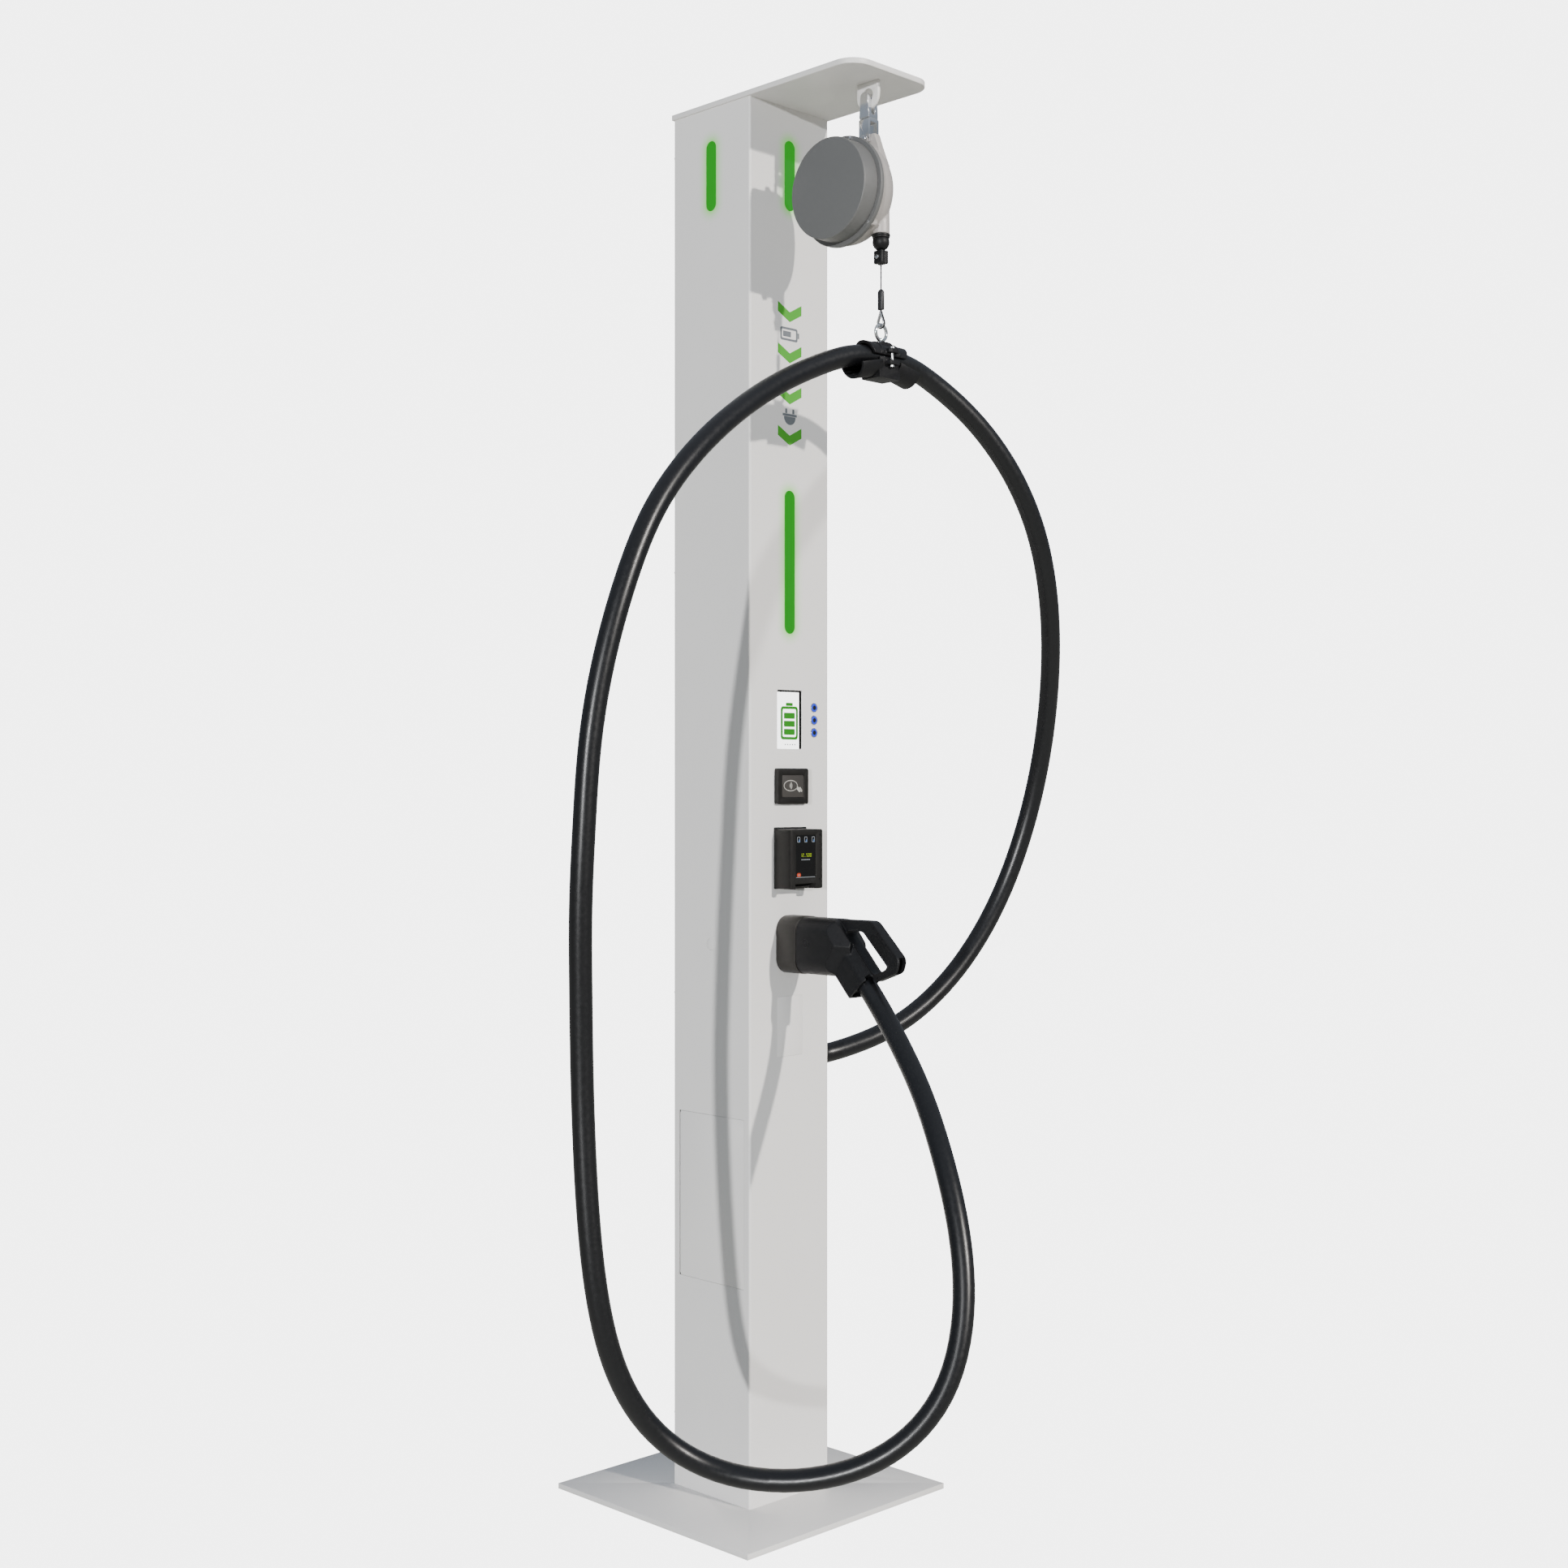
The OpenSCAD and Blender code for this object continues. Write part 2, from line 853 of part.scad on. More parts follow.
module contact_positions() {
    for (x = [-1, 1])
        translate([x * 13, 0, dc_z])
            children();
    for (n = [0 : 4])
        translate([13 * cos(n * 72 + 90), 0, ac_z + 13 * sin(n * 72 + 90)])
            children();
}

module connector_nose() {
    color("dimgray")
        translate([0, 0, holder_z])
            difference() {
                along_y(body_y0, body_y0 + nose_len)
                    nose_outline(0);
                contact_positions()
                    rod_y(4.4, body_y0 + 8, body_y0 + nose_len + 1);
            }
}

module connector_contacts() {
    color("goldenrod")
        translate([0, 0, holder_z])
            contact_positions()
                difference() {
                    rod_y(4.2, body_y0 + 8, body_y0 + nose_len - 5);
                    rod_y(2.6, body_y0 + 14, body_y0 + nose_len);
                }
}

// ---------- cable ----------

function padded(p) = [2 * p[0] - p[1], each p, 2 * p[len(p) - 1] - p[len(p) - 2]];

// A point on the cubic B-spline over the points p, at u points from its start
function on_curve(p, u) =
    let (q = padded(p), i = min(floor(u), len(p) - 2), t = u - i)
    (pow(1 - t, 3) * q[i] + (3 * pow(t, 3) - 6 * t * t + 4) * q[i + 1]
     + (-3 * pow(t, 3) + 3 * t * t + 3 * t + 1) * q[i + 2] + pow(t, 3) * q[i + 3]) / 6;

// The curve's direction at u
function heading(p, u) =
    let (q = padded(p), i = min(floor(u), len(p) - 2), t = u - i,
         d = -pow(1 - t, 2) * q[i] + (3 * t * t - 4 * t) * q[i + 1]
             + (-3 * t * t + 2 * t + 1) * q[i + 2] + t * t * q[i + 3])
    d / norm(d);

// A ring of sides points round the curve at u
function ring(p, u, r, sides) =
    let (c = on_curve(p, u), t = heading(p, u), a = cross(t, [0, 1, 0]), x = a / norm(a),
         y = cross(x, t))
    [for (k = [0 : sides - 1]) c + r * (cos(k * 360 / sides) * x + sin(k * 360 / sides) * y)];

// A solid tube along the route from u0 to u1
module tube(u0, u1, rings, r, sides = 12) {
    last = (rings - 1) * sides;
    pts = [for (n = [0 : rings - 1]) each ring(route, u0 + (u1 - u0) * n / (rings - 1), r, sides)];
    walls = [for (n = [0 : rings - 2], k = [0 : sides - 1])
                let (a = n * sides + k, b = n * sides + (k + 1) % sides)
                [a, b, b + sides, a + sides]];
    caps = [[for (k = [sides - 1 : -1 : 0]) k], [for (k = [0 : sides - 1]) last + k]];
    polyhedron(pts, concat(walls, caps));
}

module cable_riser() {
    color("black")
        tube(0, clamp_at, 44, cable_d / 2);
}

module cable_drop() {
    color("black")
        tube(clamp_at, low_at, 47, cable_d / 2);
}

module cable_rise() {
    color("black")
        tube(low_at, route_end, 33, cable_d / 2);
}

module gland_body() {
    shoulder = gland_len - cable_seat;
    color("dimgray")
        on_face(1)
            translate([outlet_y, 0, outlet_z])
                difference() {
                    union() {
                        rod_y(gland_thread_r - 2, -shoulder, 0);
                        translate([0, -10, 0])
                            rotate([-90, 0, 0])
                                cylinder(r = 31, h = 10, $fn = 6);
                        rod_y(gland_thread_r, 0, 14);
                        rod_y(gland_thread_r + 7, sheet_t, sheet_t + 7);
                    }
                    rod_y(cable_d / 2 - 5, -gland_len, 20);
                }
}

module gland_nut() {
    shoulder = gland_len - cable_seat;
    color("dimgray")
        on_face(1)
            translate([outlet_y, 0, outlet_z])
                rotate([90, 0, 0])
                    difference() {
                        rotate_extrude($fn = 64)
                            polygon([[0, 10], [27, 10], [28, 13], [28, 30], [25, gland_len - 4],
                                     [22, gland_len], [0, gland_len]]);
                        cylinder(r = gland_thread_r - 2 + fit, h = shoulder + eps, $fn = 64);
                        cylinder(r = cable_hole_r, h = gland_len + 1, $fn = 64);
                    }
}

// ---------- balancer hanger ----------

module at_bracket() {
    translate([0, bracket_y, 0])
        children();
}

// A bow through the bracket's eye, whose legs end on the fork's head
module hanger_bow() {
    leg_out = 13;
    leg_in = bracket_t / 2 + 1;
    bridge_r = 7;
    bridge_z = bracket_eye_z - bracket_hole_r + bridge_r + 0.1;
    foot_h = 7;
    color("silver")
        at_bracket() {
            translate([0, 0, bridge_z])
                rod_x(bridge_r, -leg_out, leg_out);
            for (side = [-1, 1])
                along_x(side > 0 ? leg_in : -leg_out, side > 0 ? leg_out : -leg_in)
                    polygon([[-11, fork_top], [11, fork_top], [11, fork_top + foot_h],
                             [bridge_r, fork_top + 2 * foot_h], [bridge_r, bridge_z],
                             [-bridge_r, bridge_z], [-bridge_r, fork_top + 2 * foot_h],
                             [-11, fork_top + foot_h]]);
            along_y(-11, 11)
                translate([-leg_in - 1, fork_top])
                    square([2 * leg_in + 2, foot_h]);
        }
}

// The domed side's outline, grown by a clearance
function dome_profile(grow) = [[dome_r + grow, flange_x1], [dome_r - 1 + grow, -24],
                               [dome_r - 5 + grow, -12], [dome_r - 10 + grow, 3],
                               [dome_r - 22 + grow, 18 + grow], [dome_r - 48, dome_x - 4 + grow],
                               [0, dome_x + grow]];

module housing_clearance() {
    at_drum()
        turned(concat([[0, flange_x0], [dome_r + 0.5, flange_x0]], dome_profile(0.5)));
}

module hanger_fork() {
    half = 13;
    wall = 4.5;
    top_z = fork_top;
    low_z = lug_z - 6;
    color("silver")
        at_bracket()
            difference() {
                along_y(-12, 11)
                    polygon([[-half, low_z], [half, low_z], [half, top_z - 3], [half - 3, top_z],
                             [3 - half, top_z], [-half, top_z - 3]]);
                along_y(-13, 12)
                    translate([wall - half, low_z - 1])
                        square([2 * (half - wall), top_z - low_z - 6]);
                translate([0, 0, lug_z])
                    rod_x(lug_pin_r + 0.1, -half - 1, half + 1);
                translate([0, -bracket_y, 0])
                    housing_clearance();
            }
}

module lug_pin() {
    half = 13;
    color("silver")
        at_bracket()
            translate([0, 0, lug_z]) {
                rod_x(lug_pin_r, -half - 1, half + 1);
                rod_x(lug_pin_r + 2, -half - 3, -half);
            }
}

// ---------- balancer ----------

module at_drum() {
    translate([0, bal_y, bal_z])
        children();
}

// A ring about the drum's axis, from an outline of [radius, x] points
module turned(points) {
    rotate([0, 90, 0])
        rotate_extrude($fn = 96)
            polygon(points);
}

module balancer_cover() {
    wall = 2.5;
    color("gray")
        at_drum()
            difference() {
                turned([[0, cover_x], [cover_r, cover_x], [cover_r, flange_x0], [0, flange_x0]]);
                turned([[0, cover_x + wall], [cover_r - wall, cover_x + wall],
                        [cover_r - wall, flange_x0 + 1], [0, flange_x0 + 1]]);
            }
}

module balancer_housing() {
    w = housing_wall;
    color("silver")
        difference() {
            union() {
                at_drum()
                    turned(concat([[0, flange_x0], [flange_r, flange_x0], [flange_r, flange_x1]],
                                  dome_profile(0)));
                translate([0, rope_y, nozzle_z])
                    cylinder(r = nozzle_r, h = 60);
                along_x(-lug_t / 2, lug_t / 2)
                    polygon([[bracket_y - 44, bal_z + 36], [bracket_y - 31, lug_z - 20],
                             [bracket_y - 21, lug_z + 8], [bracket_y + 7, lug_z + 8],
                             [bracket_y + 9, lug_z - 12], [bracket_y + 6, bal_z + 70],
                             [bracket_y - 40, bal_z + 30]]);
            }
            at_drum()
                turned([[0, flange_x0 - 1], [cover_r - w, flange_x0 - 1], [cover_r - w, -24],
                        [dome_r - 5 - w, -12 - w], [dome_r - 10 - w, 3 - w],
                        [dome_r - 22 - w, 18 - w], [dome_r - 48, dome_x - 4 - w],
                        [0, dome_x - w]]);
            translate([0, rope_y, nozzle_z - 1])
                cylinder(r = 5, h = 66);
            translate([0, bracket_y, lug_z])
                rod_x(lug_pin_r + 0.1, -lug_t, lug_t);
        }
}

module balancer_screws() {
    color("silver")
        at_drum()
            for (n = [0 : 2])
                rotate([n * 120 + 15, 0, 0])
                    translate([0, 0, flange_r - 4])
                        rod_x(2.6, flange_x0 - 2.4, flange_x0);
}

module drum() {
    rim = rope_lay_r + 7;
    groove = rope_lay_r - rope_r - 0.3;
    color("burlywood")
        at_drum()
            difference() {
                turned([[0, -13], [rim, -13], [rim, -10], [groove, -6], [groove, 6], [rim, 10],
                        [rim, 13], [0, 13]]);
                rod_x(shaft_r + 0.05, -14, 14);
            }
}

module drum_shaft() {
    color("silver")
        at_drum()
            rod_x(shaft_r, cover_x + 2.5, dome_x - housing_wall - 1);
}

// The flat spiral spring: its inner end is on the shaft, its outer end in the cover
function spiral(r0, r1, turns, steps) =
    [for (n = [0 : turns * steps])
        let (a = n * 360 / steps, r = r0 + (r1 - r0) * n / (turns * steps))
        r * [cos(a), sin(a)]];

module mainspring() {
    inner = spiral(shaft_r, cover_r - 2.5 - spring_t - 1, spring_turns, spring_steps);
    outer = spiral(shaft_r + spring_t, cover_r - 2.5 - 1, spring_turns, spring_steps);
    count = len(inner);
    color("steelblue")
        at_drum()
            translate([flange_x0 - 26, 0, 0])
                rotate([90, 0, 90])
                    linear_extrude(24)
                        polygon(concat(inner, [for (n = [count - 1 : -1 : 0]) outer[n]]));
}

module rope_guide() {
    color("black")
        difference() {
            translate([0, rope_y, guide_z])
                cylinder(r = nozzle_r + 1, h = nozzle_z - guide_z);
            translate([0, rope_y, guide_z - 1])
                cylinder(r = rope_r + 0.8, h = 20);
            housing_clearance();
        }
}

// ---------- rope and what hangs on it ----------

module on_rope(z) {
    translate([0, rope_y, z])
        children();
}

module rope() {
    color("silver")
        on_rope(thimble_top_z)
            cylinder(r = rope_r, h = bal_z - thimble_top_z, $fn = 16);
}

module stop_ball() {
    color("black")
        on_rope(ball_z)
            difference() {
                intersection() {
                    sphere(ball_r, $fn = 64);
                    translate([-ball_r, -ball_r, -ball_r - 1])
                        cube([2 * ball_r, 2 * ball_r, ball_r + 1 + ball_flat]);
                }
                cylinder(r = rope_r + 0.05, h = 4 * ball_r, center = true);
            }
}

// A split clamp on the rope, which sets where the balancer stops
module stop_clamp() {
    color("black")
        on_rope(stop_z)
            difference() {
                union() {
                    translate([0, 0, -stop_h / 2])
                        linear_extrude(stop_h)
                            rounded(18, 20, 3);
                    rod_x(3.2, -11.5, -9);
                }
                cylinder(r = rope_r + 0.05, h = 2 * stop_h, center = true);
            }
}

module ferrule() {
    color("dimgray")
        on_rope(ferrule_z - ferrule_h / 2)
            difference() {
                linear_extrude(ferrule_h)
                    rounded(8, 12.5, 3.9);
                translate([0, 0, -1])
                    cylinder(r = rope_r + 0.05, h = ferrule_h + 2);
            }
}

// A grooved teardrop that keeps the rope's eye open
module thimble() {
    color("silver")
        along_x(-3, 3)
            translate([rope_y, 0])
                difference() {
                    union() {
                        translate([0, thimble_z])
                            circle(thimble_r);
                        polygon([[-thimble_r, thimble_z], [thimble_r, thimble_z],
                                 [1, thimble_top_z], [-1, thimble_top_z]]);
                    }
                    translate([0, thimble_z])
                        circle(thimble_r - thimble_wall);
                    polygon([[thimble_wall - thimble_r, thimble_z],
                             [thimble_r - thimble_wall, thimble_z], [0, thimble_top_z - 5]]);
                }
}

module eye_bolt() {
    color("silver")
        on_rope(ring_z) {
            rotate([90, 0, 0])
                rotate_extrude($fn = 64)
                    translate([ring_r, 0])
                        circle(ring_wire, $fn = 24);
            translate([0, 0, clamp_z + clamp_r + 0.5 - ring_z])
                cylinder(r = 4, h = ring_z - ring_r - clamp_z - clamp_r);
            translate([0, 0, clamp_z + boss_h - ring_z])
                cylinder(r = 7.5, h = 6);
        }
}

// Upper half of the cable clamp: a short saddle with the eye bolt's boss
module clamp_saddle() {
    color("black")
        on_rope(clamp_z)
            difference() {
                union() {
                    rod_x(clamp_r + 5, -saddle_len / 2, saddle_len / 2);
                    translate([-13, -16, 0])
                        cube([26, 32, boss_h]);
                    translate([-12, -ear_y - 7, 5])
                        cube([24, 2 * ear_y + 14, 7]);
                }
                rod_x(clamp_r, -saddle_len, saddle_len);
                translate([-saddle_len, -ear_y * 2, -ear_y * 2])
                    cube([2 * saddle_len, 4 * ear_y, 2 * ear_y + 1]);
                cylinder(r = 4.05, h = 40);
                for (side = [-1, 1])
                    translate([0, side * ear_y, 0])
                        cylinder(r = screw_r + fit, h = 40);
            }
}

// Lower half: a block with two half-pipe wings that let the cable bend gently
module clamp_trough() {
    block = 26;
    color("black")
        on_rope(clamp_z)
            difference() {
                union() {
                    translate([-block, -clamp_r - 2.5, -38])
                        cube([2 * block, 2 * clamp_r + 5, 35]);
                    translate([-12, -ear_y - 7, -15])
                        cube([24, 2 * ear_y + 14, 7]);
                    for (side = [-1, 1])
                        translate([side * (block - 2), 0, -wing_drop])
                            rotate([0, side * wing_tilt, 0])
                                difference() {
                                    rod_x(wing_r + wing_wall, side > 0 ? 0 : -wing_len,
                                          side > 0 ? wing_len : 0);
                                    translate([-wing_len - 1, -50, 0])
                                        cube([2 * wing_len + 2, 100, 50]);
                                }
                }
                rod_x(clamp_r, -block - 8, block + 8);
                for (side = [-1, 1]) {
                    translate([side * (block - 2), 0, -wing_drop])
                        rotate([0, side * wing_tilt, 0])
                            rod_x(wing_r, side > 0 ? 0 : -wing_len - 1,
                                  side > 0 ? wing_len + 1 : 0);
                    translate([0, side * ear_y, -40])
                        cylinder(r = screw_r + fit, h = 40);
                }
            }
}

module clamp_screws() {
    color("silver")
        for (side = [-1, 1])
            translate([0, rope_y + side * ear_y, clamp_z]) {
                translate([0, 0, -17])
                    cylinder(r = screw_r, h = 31);
                translate([0, 0, 12])
                    cylinder(r = 4.2, h = 4);
                translate([0, 0, -19])
                    cylinder(r = 4.2, h = 4, $fn = 6);
            }
}

// ---------- electrical parts behind the service door ----------

module mounting_panel() {
    flange = 20;
    y0 = front_y + sheet_t;
    y1 = rear_y - sheet_t;
    color("silver")
        translate([0, 0, panel_z0])
            linear_extrude(panel_z1 - panel_z0) {
                translate([panel_x, y0])
                    square([sheet_t, y1 - y0]);
                for (y = [y0, y1 - sheet_t])
                    translate([panel_x, y])
                        square([flange, sheet_t]);
            }
}

module terminal_blocks() {
    color("khaki")
        for (n = [0 : 4])
            translate([panel_x - 42, -60 + n * 24, 430])
                difference() {
                    cube([42, 22, 60]);
                    translate([-1, 11, 12])
                        rod_x(4, 0, 20);
                    translate([-1, 11, 48])
                        rod_x(4, 0, 20);
                }
}

module contactors() {
    color("dimgray")
        for (y = [-46, 46])
            translate([panel_x - 60, y - 32, 570]) {
                translate([12, 0, 0])
                    cube([48, 64, 90]);
                for (z = [14, 76])
                    translate([0, 32, z])
                        rod_x(7, 0, 12);
            }
}

module charge_controller() {
    color("darkgreen")
        translate([panel_x - 40, -60, 700]) {
            cube([40, 120, 160]);
            for (n = [0 : 4])
                translate([-4, 8 + n * 22, 8])
                    cube([4, 16, 10]);
        }
}

base_plate();
column_shell();
rear_cover();
cover_screws();
end_frames();
roof_plate();
balancer_bracket();
upper_light_lenses();
level_light_lens();
led_boards();
hinge_ears();
door_catch();
service_door();
release_plug();
blanking_plate();
display_module();
display_glass();
button_bezels();
button_cap_top();
button_cap_middle();
button_cap_bottom();
reader_frame();
reader_pad();
terminal_gasket();
terminal_housing();
terminal_screen();
plug_holder();
holder_socket();
connector_shell();
connector_nose();
connector_contacts();
gland_body();
gland_nut();
cable_riser();
cable_drop();
cable_rise();
hanger_bow();
hanger_fork();
lug_pin();
balancer_housing();
balancer_cover();
balancer_screws();
drum();
drum_shaft();
mainspring();
rope_guide();
rope();
stop_ball();
stop_clamp();
ferrule();
thimble();
eye_bolt();
clamp_saddle();
clamp_trough();
clamp_screws();
mounting_panel();
terminal_blocks();
contactors();
charge_controller();
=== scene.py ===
import json
import math
import bmesh
import bpy
from mathutils import Matrix, Vector

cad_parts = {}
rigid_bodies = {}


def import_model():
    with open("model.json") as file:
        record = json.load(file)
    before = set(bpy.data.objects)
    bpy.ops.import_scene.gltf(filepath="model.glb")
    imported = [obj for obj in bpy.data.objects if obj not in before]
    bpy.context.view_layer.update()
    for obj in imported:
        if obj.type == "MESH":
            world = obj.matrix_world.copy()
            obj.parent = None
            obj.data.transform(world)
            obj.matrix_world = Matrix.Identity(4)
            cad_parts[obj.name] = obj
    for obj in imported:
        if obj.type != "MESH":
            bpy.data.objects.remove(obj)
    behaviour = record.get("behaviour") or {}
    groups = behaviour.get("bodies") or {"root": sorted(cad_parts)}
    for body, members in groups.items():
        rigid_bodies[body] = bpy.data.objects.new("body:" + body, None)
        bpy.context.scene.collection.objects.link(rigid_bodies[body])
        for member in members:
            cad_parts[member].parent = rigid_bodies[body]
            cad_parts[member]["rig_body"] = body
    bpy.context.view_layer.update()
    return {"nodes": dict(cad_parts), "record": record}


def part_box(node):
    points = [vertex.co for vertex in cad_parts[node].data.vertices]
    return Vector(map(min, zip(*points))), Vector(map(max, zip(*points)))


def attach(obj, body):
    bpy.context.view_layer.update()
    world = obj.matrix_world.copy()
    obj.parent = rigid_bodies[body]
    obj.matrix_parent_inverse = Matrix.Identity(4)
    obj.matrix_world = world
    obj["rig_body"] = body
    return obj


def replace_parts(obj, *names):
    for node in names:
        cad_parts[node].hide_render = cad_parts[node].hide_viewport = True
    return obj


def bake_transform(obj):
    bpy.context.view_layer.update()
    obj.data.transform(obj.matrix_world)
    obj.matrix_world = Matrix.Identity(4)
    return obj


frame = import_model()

NODES = frame["nodes"]

# ---------------------------------------------------------------- camera

cam_data = bpy.data.cameras.new("camera")
cam_data.lens = 47.518
cam_data.sensor_width = 36
cam_data.clip_end = 60
cam = bpy.data.objects.new("camera", cam_data)
cam.location = (-2.6404, -2.7277, 1.2920)
cam.rotation_euler = (math.radians(90), 0, math.radians(-44.98))
bpy.context.scene.collection.objects.link(cam)
bpy.context.scene.camera = cam

# ---------------------------------------------------------------- materials


class Graph:
    """Short names for building a node tree."""

    def __init__(self, tree):
        self.tree = tree

    def node(self, kind, **values):
        n = self.tree.nodes.new(kind)
        for k, v in values.items():
            setattr(n, k, v)
        return n

    def link(self, a, b):
        self.tree.links.new(a, b)

    def math(self, op, a, b=None, c=None, clamp=False):
        n = self.node("ShaderNodeMath", operation=op, use_clamp=clamp)
        for i, v in enumerate((a, b, c)):
            if v is None:
                continue
            if isinstance(v, (int, float)):
                n.inputs[i].default_value = v
            else:
                self.link(v, n.inputs[i])
        return n.outputs[0]

    def noise(self, co, scale, detail=3.0, rough=0.5, stretch=None):
        n = self.node("ShaderNodeTexNoise")
        if stretch:
            m = self.node("ShaderNodeMapping")
            m.inputs["Scale"].default_value = stretch
            self.link(co, m.inputs[0])
            co = m.outputs[0]
        self.link(co, n.inputs["Vector"])
        n.inputs["Scale"].default_value = scale
        n.inputs["Detail"].default_value = detail
        n.inputs["Roughness"].default_value = rough
        return n.outputs["Fac"]

    def remap(self, v, lo, hi, a, b):
        n = self.node("ShaderNodeMapRange")
        self.link(v, n.inputs[0])
        for i, x in enumerate((lo, hi, a, b)):
            n.inputs[i + 1].default_value = x
        return n.outputs[0]

    def mix(self, fac, a, b, kind="MIX"):
        n = self.node("ShaderNodeMix", data_type="RGBA", blend_type=kind)
        for i, v in ((0, fac), (6, a), (7, b)):
            if isinstance(v, (int, float)):
                n.inputs[i].default_value = v
            elif isinstance(v, (tuple, list)):
                n.inputs[i].default_value = (*v[:3], 1)
            else:
                self.link(v, n.inputs[i])
        return n.outputs[2]


def material(name, color, rough, metal=0.0, vary=0.04, rough_vary=0.06, grain=900.0,
             bump=0.12, depth=0.0002, coat=0.0, spec=0.5, stretch=None, edge_highlight=None):
    """A finish with uneven colour, uneven roughness, a fine surface grain and paler edges, which are a
    painted highlight.
    """
    m = bpy.data.materials.new(name)
    m.use_nodes = True
    g = Graph(m.node_tree)
    b = m.node_tree.nodes["Principled BSDF"]
    co = g.node("ShaderNodeTexCoord").outputs["Object"]
    big = g.noise(co, 7.0, 4.0)
    small = g.noise(co, 160.0, 3.0, 0.6)
    tone = g.math("ADD", g.math("MULTIPLY", big, 0.6), g.math("MULTIPLY", small, 0.4))
    lo = [max(0, c * (1 - vary)) for c in color]
    hi = [min(1, c * (1 + vary)) for c in color]
    col = g.mix(g.remap(tone, 0.35, 0.65, 0, 1), lo, hi)
    # Paler colour on sharp edges: a painted highlight.
    if edge_highlight:
        geo = g.node("ShaderNodeNewGeometry")
        edge = g.remap(geo.outputs["Pointiness"], 0.52, 0.60, 0, 0.6)
        col = g.mix(g.math("MULTIPLY", edge, small), col, edge_highlight)
    g.link(col, b.inputs["Base Color"])
    g.link(g.remap(small, 0.3, 0.7, max(0.02, rough - rough_vary), min(1, rough + rough_vary)),
           b.inputs["Roughness"])
    b.inputs["Metallic"].default_value = metal
    b.inputs["Coat Weight"].default_value = coat
    b.inputs["Specular IOR Level"].default_value = spec
    if bump:
        n = g.node("ShaderNodeBump")
        n.inputs["Strength"].default_value = bump
        n.inputs["Distance"].default_value = depth
        g.link(g.noise(co, grain, 2.0, 0.55, stretch), n.inputs["Height"])
        g.link(n.outputs[0], b.inputs["Normal"])
    return m


def coat_with_painted_glow(name, color, rough, capsules):
    """Powder coat with a painted green glow round each lamp, in its colour and in its emission: capsules
    are (face, middle height, half length).
    """
    m = material(name, color, rough, vary=0.015, rough_vary=0.05, grain=1400, bump=0.10, depth=0.00015)
    g = Graph(m.node_tree)
    b = m.node_tree.nodes["Principled BSDF"]
    co = g.node("ShaderNodeTexCoord").outputs["Object"]
    sep = g.node("ShaderNodeSeparateXYZ")
    g.link(co, sep.inputs[0])
    x, y, z = sep.outputs
    total = None
    for face, mid, half in capsules:
        u, w, side = {"front": (x, y, -1), "left": (y, x, -1), "right": (y, x, 1)}[face]
        off = g.math("ABSOLUTE", g.math("SUBTRACT", z, mid))
        dz = g.math("MAXIMUM", g.math("SUBTRACT", off, half), 0.0)
        d = g.math("SQRT", g.math("ADD", g.math("MULTIPLY", u, u), g.math("MULTIPLY", dz, dz)))
        far = g.math("SUBTRACT", d, 0.0125)
        fall = g.remap(far, 0.0, 0.026, 1.0, 0.0)
        fall = g.math("POWER", fall, 2.2)
        on = g.math("GREATER_THAN", g.math("MULTIPLY", w, side), 0.0985)
        part = g.math("MULTIPLY", fall, on)
        total = part if total is None else g.math("MAXIMUM", total, part)
    old = b.inputs["Base Color"].links[0].from_socket
    # Green mixed into the colour and the emission round each lamp: painted glow.
    g.link(g.mix(g.math("MULTIPLY", total, 0.85), old, (0.22, 0.62, 0.10)), b.inputs["Base Color"])
    b.inputs["Emission Color"].default_value = (0.12, 0.75, 0.06, 1)
    g.link(g.math("MULTIPLY", total, 0.30), b.inputs["Emission Strength"])
    return m


def lamp(name, color, strength, base=(0, 0, 0), rough=0.3):
    """A lit surface with faint unevenness, such as a screen or a lamp cover."""
    m = bpy.data.materials.new(name)
    m.use_nodes = True
    g = Graph(m.node_tree)
    b = m.node_tree.nodes["Principled BSDF"]
    b.inputs["Base Color"].default_value = (*base, 1)
    b.inputs["Roughness"].default_value = rough
    co = g.node("ShaderNodeTexCoord").outputs["Object"]
    t = g.remap(g.noise(co, 40.0, 2.0), 0.3, 0.7, 0.0, 1.0)
    g.link(g.mix(t, [c * 0.97 for c in color], color), b.inputs["Emission Color"])
    b.inputs["Emission Strength"].default_value = strength
    return m


